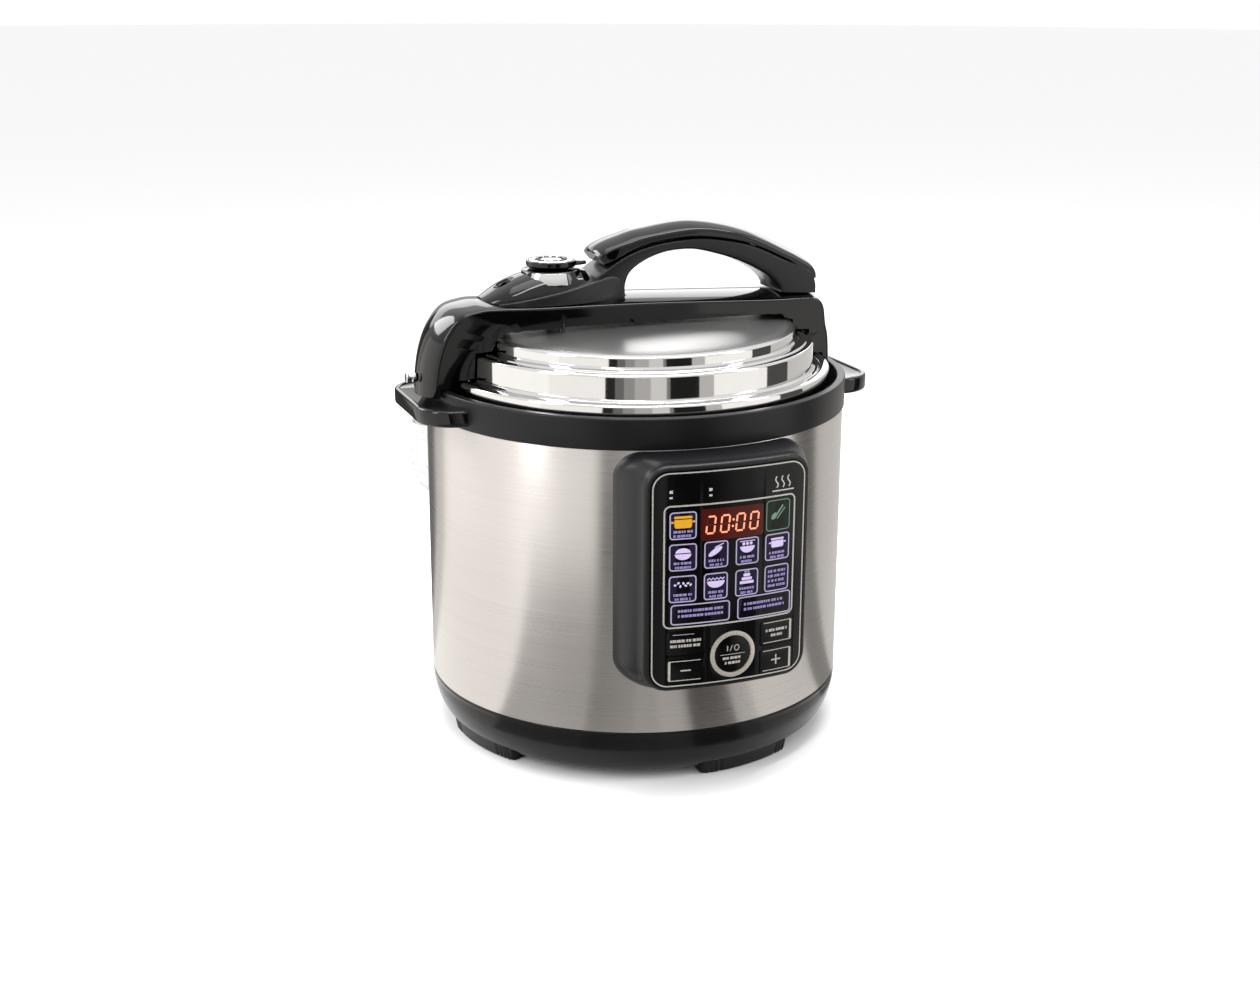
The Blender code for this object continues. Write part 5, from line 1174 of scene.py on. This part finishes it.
class MakeSigns(bpy.types.Operator):
    """Frames, lit signs and digits of the panel"""
    bl_idname = "cooker.make_signs"
    bl_label = "Signs and digits"

    def execute(self, context):
        self.frames()
        self.tiles()
        self.digits()
        self.key_signs()
        return {"FINISHED"}

    def frames(self):
        """The silver frames, and the plain mark at the top of the fascia."""
        ink, mark, inset = Print(0.04), Print(0.04), 0.9
        ink.line(round_rect(PANEL_HALF - inset, PANEL_LOW + inset, PANEL_HIGH - inset,
                            sizes().panel_corner - inset, 10), 0.8, True)
        ink.line(round_rect(41.8, 113.6, 188.6, 3.6, 8), 1, True)
        ink.show("fascia_frames", "silver_ink", slot="polished_steel")
        for k in range(3):
            mark.line([(29 + 4.2 * k + 0.9 * math.sin(t * 2 * math.pi), 193.6 + 7 * t)
                       for t in (i / 12 for i in range(13))], 0.8)
        mark.line([(26, 191.8), (41, 191.8)], 0.8)
        mark.patch(round_rect(13, 196.4, 198.2, 0.7, 4, -26))
        mark.patch(round_rect(13, 193.2, 194.4, 0.5, 4, -26))
        mark.show("fascia_mark", "pale_ink", slot="polished_steel")

    def tiles(self):
        """Icon cells: a film, its outline, a sign and rows of dashes under it."""
        film, edge, sign, text = Print(0.03), Print(0.1), Print(0.1), Print(0.1)

        def cell(u, middle, half, tall):
            shape = round_rect(half, middle - tall, middle + tall, 1.8, 6, u)
            film.patch(shape)
            edge.line(shape, 0.75, True)

        def rows(u, half, first, pitch, tall, seed, count=2, taper=0.0):
            for k in range(count):
                text.words(u, half - taper * k, first - pitch * k, tall, seed + k)

        drawings = [[self.rice, self.meat, self.bowl, self.pot], [self.beans, self.stew, self.cake, None]]
        for r, middle in enumerate((157.2, 137.6)):
            for c, (u, half) in enumerate(((-30.5, 8), (-10, 7.2), (10, 7.2), (30.3, 8))):
                cell(u, middle, half, 7.9)
                if drawings[r][c]:
                    drawings[r][c](sign, u, middle + 2.6)
                    rows(u, half - 2.4, middle - 4.4, 2.6, 1.5, 31 * r + 7 * c, taper=0.8)
                else:
                    rows(u, half - 2, middle + 3.6, 3, 1.6, 90, 4)
        for u, half, tall, seed in ((-19.2, 18.1, 6, 50), (22.3, 17.8, 6.6, 60)):
            cell(u, 121.6, half, tall)
            rows(u, half - 4, 123, 3.2, 1.6, seed)
        cell(-30.6, 176.6, 7.8, 8)
        rows(-30.6, 5.8, 172.2, 2.6, 1.5, 70)
        film.show("sign_films", "violet_film")
        edge.show("sign_outlines", "lavender_line")
        sign.show("sign_drawings", "lavender_sign")
        text.show("sign_captions", "violet_text")
        amber, green, leaf = Print(0.1), Print(0.03), Print(0.1)
        self.pot(amber, -30.6, 178.8, 1.25)
        amber.show("warm_sign", "amber_sign")
        tile = round_rect(7.9, 167.6, 186, 2, 6, 30.4)
        green.patch(tile)
        green.show("green_film", "green_film")
        leaf.line(tile, 0.5, True)
        leaf.line([(27.6, 174.8), (33.6, 182.6)], 1.1)
        leaf.line([(29.6, 174.6), (35, 181)], 0.7)
        leaf.patch(ellipse((27.6, 176.4), 2.4, 1.5, 20, tilt=50))
        leaf.show("green_sign", "green_sign")

    def rice(self, ink, u, v):
        ink.patch(ellipse((u, v), 4.6, 3, 16, 0, 180))
        ink.patch(ellipse((u, v - 0.6), 5, 3.6, 16, 180, 180))

    def meat(self, ink, u, v):
        ink.patch(ellipse((u - 0.6, v - 0.6), 5, 1.7, 24, tilt=32))
        ink.line([(u - 1, v + 1.8), (u + 4.6, v + 4)], 0.6)

    def bowl(self, ink, u, v):
        ink.patch(ellipse((u, v + 0.4), 4.8, 4, 18, 180, 180))
        for k in (-1, 0, 1):
            ink.patch(ellipse((u + k * 2.4, v + 2), 1, 1, 12))
        ink.line([(u - 5, v + 3.6), (u + 5, v + 3.6)], 0.5)

    def pot(self, ink, u, v, k=1.0):
        ink.patch(rounded([(u + 4.2 * k, v - 3 * k, 1.2 * k), (u + 4.2 * k, v + 1.2 * k),
                           (u - 4.2 * k, v + 1.2 * k), (u - 4.2 * k, v - 3 * k, 1.2 * k)], 4))
        ink.patch(round_rect(4.4 * k, v + 1.7 * k, v + 2.9 * k, 0.5 * k, 3, u))
        ink.line([(u - 5.8 * k, v), (u - 4.4 * k, v)], 0.9 * k)
        ink.line([(u + 4.4 * k, v), (u + 5.8 * k, v)], 0.9 * k)

    def beans(self, ink, u, v):
        for k, (a, b) in enumerate(((-4.6, 0), (-2.6, 1.2), (-1.4, -0.8), (0.4, 0.9), (1.8, -0.6),
                                    (3.2, 0.8), (4.8, -0.2))):
            ink.patch(ellipse((u + a, v + b), 0.9, 0.65, 12, tilt=40 * k))

    def stew(self, ink, u, v):
        ink.patch(ellipse((u, v + 0.6), 5.6, 4.2, 18, 180, 180))
        ink.line([(u - 5.4 + 1.2 * k, v + 1.4 + 1.2 * (k % 2)) for k in range(10)], 0.7)

    def cake(self, ink, u, v):
        for k, half in enumerate((4.6, 3.4, 2.2)):
            ink.patch(round_rect(half, v + 2.3 * k - 3.4, v + 2.3 * k - 1.6, 0.5, 3, u))
        for k in (-1, 0, 1):
            ink.line([(u + 1.2 * k, v + 3.4), (u + 1.2 * k, v + 4.8)], 0.4)

    def digits(self):
        """Four leaning seven-part figures with a colon; the middle bar of each is unlit, and the unlit bars
        are drawn with a faint painted glow.
        """
        lit, dark = Print(0.06), Print(0.05)
        half, tall, lean, gap, stroke, centre = 2.5, 5.1, 0.1, 0.35, 1.05, 175.7

        def leaning(u, *path):
            return [(u + x + lean * z, centre + z) for x, z in path]

        for k, u in enumerate((-13.6, -4.6, 5.2, 14.2)):
            for end in (-1, 1):
                for side in (-1, 1):
                    part = dark if (k, side, end) == (0, -1, 1) else lit
                    upright = (side * half, end * gap * 1.6), (side * half, end * (tall - gap * 1.4))
                    part.line(leaning(u, *upright), stroke)
                lit.line(leaning(u, (-half + gap * 1.4, end * tall), (half - gap * 1.4, end * tall)), stroke)
            dark.line(leaning(u, (-half + gap * 1.6, 0), (half - gap * 1.6, 0)), stroke)
            dark.patch(ellipse((u + half + 1.5, centre - tall), 0.5, 0.5, 12))
        for end in (-2, 2):
            lit.patch(ellipse((0.4 + lean * end, centre + end), 0.7, 0.7, 16))
        lit.show("digits_lit", "led_digit")
        # the unlit bars carry a faint painted glow
        dark.show("digits_unlit", "led_off")

    def key_signs(self):
        """Marks printed on the keys, which travel with them. A key has an arch open to one side, or
        none, then lines as (from, to, width), and rows of dashes as (half width, height, tall, seed)."""
        minus = ((-3.2, 0), (3.2, 0), 0.9)
        for name, side, lines, rows in (
                ("minus", -1, [minus], []),
                ("plus", 1, [minus, ((0, -3.2), (0, 3.2), 0.9)], []),
                ("select", 1, [], [(7.6, 0.5, 1.7, 80), (4, -2.8, 1.7, 81)]),
                ("timer", 0, [((-8, 5.4), (5, 5.4), 0.35)], [(9.6, 0.6, 1.7, 82), (9.6, -2.6, 1.7, 83)]),
                ("power", 0, [((-3.4, 2), (-3.4, 5.4), 0.6), ((-1.8, 1.8), (-0.2, 5.6), 0.5),
                              ((-8, -0.2), (8, -0.2), 0.35)], [(6.4, -3.4, 1.6, 84), (5, -6.4, 1.6, 85)])):
            u, v, half, tall = middle_of("key_" + name)
            half, tall = half - 1.2, tall - 1.4
            ink = Print(0.03)
            if side:
                far, near, inner = (u + side * (half - back) for back in (0, 2, 1.5))
                for end in (tall, -tall):
                    ink.line([(u - side * half * 0.86, v + end), (near, v + end)], 0.5)
                ink.patch(rounded([
                    (near, v - tall - 0.25), (far, v - tall - 0.25, 1.8), (far, v + tall + 0.25, 1.8),
                    (near, v + tall + 0.25), (near, v + tall - 0.3), (inner, v + tall - 0.3, 0.5),
                    (inner, v - tall + 0.3, 0.5), (near, v - tall + 0.3)], 5))
            if name == "power":
                ink.line(ellipse((u + 2.6, v + 3.7), 1.5, 1.7, 20), 0.55, True)
            for start, end, width in lines:
                ink.line([(u + start[0], v + start[1]), (u + end[0], v + end[1])], width)
            for wide, height, letter, seed in rows:
                ink.words(u, wide, v + height, letter, seed)
            ink.show(name + "_key_ink", "silver_ink", name + "_key", "polished_steel", 0.2)


# ---- back ---------------------------------------------------------------------------------------
class MakeBack(bpy.types.Operator):
    """Condensation cup at the back"""
    bl_idname = "cooker.make_back"
    bl_label = "Condensation cup"

    def execute(self, context):
        wall = 1.4
        near, far, half = BODY_R + 3, 164, 30
        outer = self.rings(near, far, half, CUP_LOW)
        inner = self.rings(near + wall, far - wall, half - wall, CUP_LOW + wall)
        cup = solid("drip_cup", moved(loft(outer + inner[::-1]), (0, 0, 0), 135), angle=60)
        fit(cup, "frosted_polypropylene", "cup", "translucent_plastic", "condensation_cup")
        return {"FINISHED"}

    def rings(self, near, far, half, bottom):
        """Level outlines from the cup's rounded floor to its mouth, before it is turned into place."""
        rings = []
        turn = 26
        levels = [(bottom + turn * (1 - math.cos(a)), math.sin(a))
                  for a in (math.radians(90 * k / 12) for k in range(1, 13))] + [(CUP_HIGH, 1.0)]
        for z, bulge in levels:
            depth, wide = (far - near) * (0.3 + 0.7 * bulge), half * (0.45 + 0.55 * bulge)
            rings.append([(near + depth * max(0.0, math.cos(a)) ** 0.7, wide * math.sin(a), z)
                          for a in (math.radians(-90 + 180 * k / 40) for k in range(41))])
        return rings


class PaintFrame(bpy.types.Operator):
    """Finishes for the frame's own pieces that stay in view or inside"""
    bl_idname = "cooker.paint_frame"
    bl_label = "Finishes of the kept pieces"

    def execute(self, context):
        finishes = {
            "moulded_black_abs": ["cup_bracket", "power_inlet", "power_lead", "display_module"],
            "pressed_stainless": ["base_screw_1", "base_screw_2", "base_screw_3", "float_valve",
                                  "grip_screw_1", "grip_screw_2", "heater_spring_plate",
                                  "thermal_fuse", "vent_pipe", "vent_weight", "inlet_contacts"],
            "milky_silicone": ["float_gasket"],
            "solder_mask": ["control_board", "power_board"],
            "white_abs": ["light_guide", "pressure_switch"],
        }
        for name, nodes in finishes.items():
            for node in nodes:
                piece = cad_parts[node]
                piece.data.materials.clear()
                piece.data.materials.append(finish(name))
        return {"FINISHED"}


# ---- studio -------------------------------------------------------------------------------------
TARGET_SIDE, TARGET_HIGH = -2.69, 145.37    # what the camera looks at: to its right, and above the floor
CAMERA_LEAN = 0.19                          # degrees that the camera leans to its side

SOFTBOXES = (                               # name, place in metres, width, height, power in watts
    ("overhead", (0.1, 0.25, 1.7), 1.3, 1.0, 9),
    ("crest", (0.1, -0.2, 1.25), 1.5, 0.12, 9),
    ("left", (-1.35, -0.35, 0.75), 0.35, 1.1, 9),
    ("right", (1.3, -0.9, 0.8), 0.3, 1.1, 6),
    ("back_left", (-0.9, 0.95, 0.95), 0.7, 0.5, 9),
    ("behind", (0.25, 1.7, 0.75), 2.4, 0.7, 10),
)

CARDS = (                                   # from and to, in degrees from the camera; glow low and high
    (-176, -148, 0.7, 0.7), (-148, -128, 0.12, 0.12), (-128, -114, 0.8, 0.8), (-114, -50, 1.35, 1.5),
    (-50, -16.5, 0.5, 1.35), (-16.5, -11, 0.3, 0.03), (-11, -6, 0.35, 0.2), (-6, 0, 0.4, 0.4),
    (0, 9, 0.5, 0.6), (9, 18, 0.6, 0.9), (18, 20, 0.5, 0.3), (20, 37, 0.12, 0.02),
    (37, 46, 0.6, 0.7), (46, 84, 0.9, 1.4), (84, 104, 0.3, 0.1), (104, 150, 0.8, 0.8),
)


class MakeStage(bpy.types.Operator):
    """Camera, floor, soft lights and the dark cards that the steel mirrors"""
    bl_idname = "cooker.make_stage"
    bl_label = "Studio"

    def execute(self, context):
        studio = context.scene.cooker_studio
        back = Vector((math.sin(studio.bearing) * math.cos(studio.rise),
                       -math.cos(studio.bearing) * math.cos(studio.rise), math.sin(studio.rise)))
        right = Vector((math.cos(studio.bearing), math.sin(studio.bearing), 0))
        lens = bpy.data.cameras.new("camera")
        lens.lens, lens.sensor_width = studio.lens, 36.0
        camera = bpy.data.objects.new("camera", lens)
        target = right * TARGET_SIDE * MM + Vector((0, 0, TARGET_HIGH * MM))
        camera.location = target + back * studio.distance
        camera.rotation_mode = "QUATERNION"
        lean = Quaternion((0, 0, 1), math.radians(CAMERA_LEAN))
        camera.rotation_quaternion = (-back).to_track_quat("-Z", "Y") @ lean
        context.scene.collection.objects.link(camera)
        context.scene.camera = camera
        context.scene.view_settings.view_transform = "Standard"

        self.floor(studio)
        self.sky(studio)
        for softbox in SOFTBOXES:
            self.softbox(*softbox)
        for first, last, low_glow, high_glow in CARDS:
            number = f"{round(first + 180):03d}"
            self.card(studio, "card_low_" + number, first, last, low_glow, ((150, 3), (520, 30)))
            self.card(studio, "card_high_" + number, first, last, high_glow, ((520, 30), (1000, 460)))
        return {"FINISHED"}

    def floor(self, studio):
        """A wide disc that the feet stand on."""
        radius, edge = 12000, 96
        rim = ellipse((0, 0), radius, radius, edge)
        fan = [(0, 1 + k, 1 + (k + 1) % edge) for k in range(edge)]
        floor = solid("floor", ([(0, 0, 0)] + [(x, y, 0) for x, y in rim], fan))
        mat, tree, shader = surface("matt_paper", Roughness=0.9, Specular_IOR_Level=0.1)
        blend(tree, grain(tree, 16.7), linear(studio.floor, 0.98), linear(studio.floor),
              shader.inputs["Base Color"])
        floor.data.materials.append(mat)

    def sky(self, studio):
        """Even light from all round, which polished pieces see brighten with height."""
        world = bpy.data.worlds.new("studio_sky")
        world.use_nodes = True
        tree = world.node_tree
        way = add(tree, "TexCoord").outputs["Generated"]
        rise = add(tree, "SeparateXYZ", {"Vector": way}).outputs["Z"]
        ramp = add(tree, "MapRange", {"Value": rise, "From Min": 0.0, "From Max": 0.5, "To Min": 0.6,
                                      "To Max": 1.15}).outputs["Result"]
        seen = add(tree, "LightPath").outputs["Is Glossy Ray"]
        dim = add(tree, "Mix", {0: seen, 2: 1.0, 3: ramp}, data_type="FLOAT").outputs[0]
        power = add(tree, "Math", {0: dim, 1: studio.sky}, operation="MULTIPLY").outputs["Value"]
        tree.links.new(power, tree.nodes["Background"].inputs["Strength"])
        tree.nodes["Background"].inputs["Color"].default_value = linear("#FFFFFF")
        bpy.context.scene.world = world

    def softbox(self, name, place, width, tall, power):
        """A rectangular lamp that faces the cooker and that the camera doesn't see."""
        lamp = bpy.data.lights.new(name, "AREA")
        lamp.shape, lamp.size, lamp.size_y, lamp.energy = "RECTANGLE", width, tall, power
        box = bpy.data.objects.new(name, lamp)
        box.location = place
        box.rotation_euler = (Vector((0, 0, 0.2)) - Vector(place)).to_track_quat("-Z", "Y").to_euler()
        box.visible_camera = False
        bpy.context.scene.collection.objects.link(box)

    def card(self, studio, name, first, last, glow, slope):
        """A sloping board between two bearings from the camera, seen only in reflections. Its glow is
        what the steel shows there."""
        angles = [studio.bearing + math.radians(first + (last - first) * k / 8 - 90) for k in range(9)]
        points = [(r * math.cos(a), r * math.sin(a), z) for a in angles for r, z in slope]
        card = solid(name, (points, [(2 * k, 2 * k + 2, 2 * k + 3, 2 * k + 1) for k in range(8)]))
        mat, tree, shader = surface(name + "_board", Roughness=1.0, Emission_Strength=glow,
                                    Specular_IOR_Level=0.0)
        shader.inputs["Base Color"].default_value = linear("#000000")
        shader.inputs["Emission Color"].default_value = linear("#FFFCF8")
        card.data.materials.append(mat)
        card.visible_camera = card.visible_diffuse = card.visible_shadow = False
        card.visible_transmission = False


class CookerPanel(bpy.types.Panel):
    """Lists the cooker's builders and settings"""
    bl_idname = "VIEW3D_PT_cooker"
    bl_label = "Cooker"
    bl_space_type = "VIEW_3D"
    bl_region_type = "UI"
    bl_category = "Cooker"

    def draw(self, context):
        for step in STEPS:
            self.layout.operator(step.bl_idname)
        for group in (context.scene.cooker_sizes, context.scene.cooker_colours, context.scene.cooker_studio):
            box = self.layout.box()
            for name in group.bl_rna.properties.keys():
                if name not in ("rna_type", "name"):
                    box.prop(group, name)


STEPS = (MakeStage, MakeBody, MakeCollar, MakeInside, MakeLid, MakeSpine, MakeGrip, MakeVent, MakePanel,
         MakeSigns, MakeBack, PaintFrame)
CLASSES = (CookerColours, CookerSizes, CookerStudio, *STEPS, CookerPanel)


def register():
    for item in CLASSES:
        bpy.utils.register_class(item)
    bpy.types.Scene.cooker_sizes = PointerProperty(type=CookerSizes)
    bpy.types.Scene.cooker_colours = PointerProperty(type=CookerColours)
    bpy.types.Scene.cooker_studio = PointerProperty(type=CookerStudio)


def unregister():
    for name in ("cooker_sizes", "cooker_colours", "cooker_studio"):
        delattr(bpy.types.Scene, name)
    for item in reversed(CLASSES):
        bpy.utils.unregister_class(item)


def main():
    register()
    for step in STEPS:
        group, name = step.bl_idname.split(".")
        getattr(getattr(bpy.ops, group), name)()


if __name__ == "__main__":
    main()
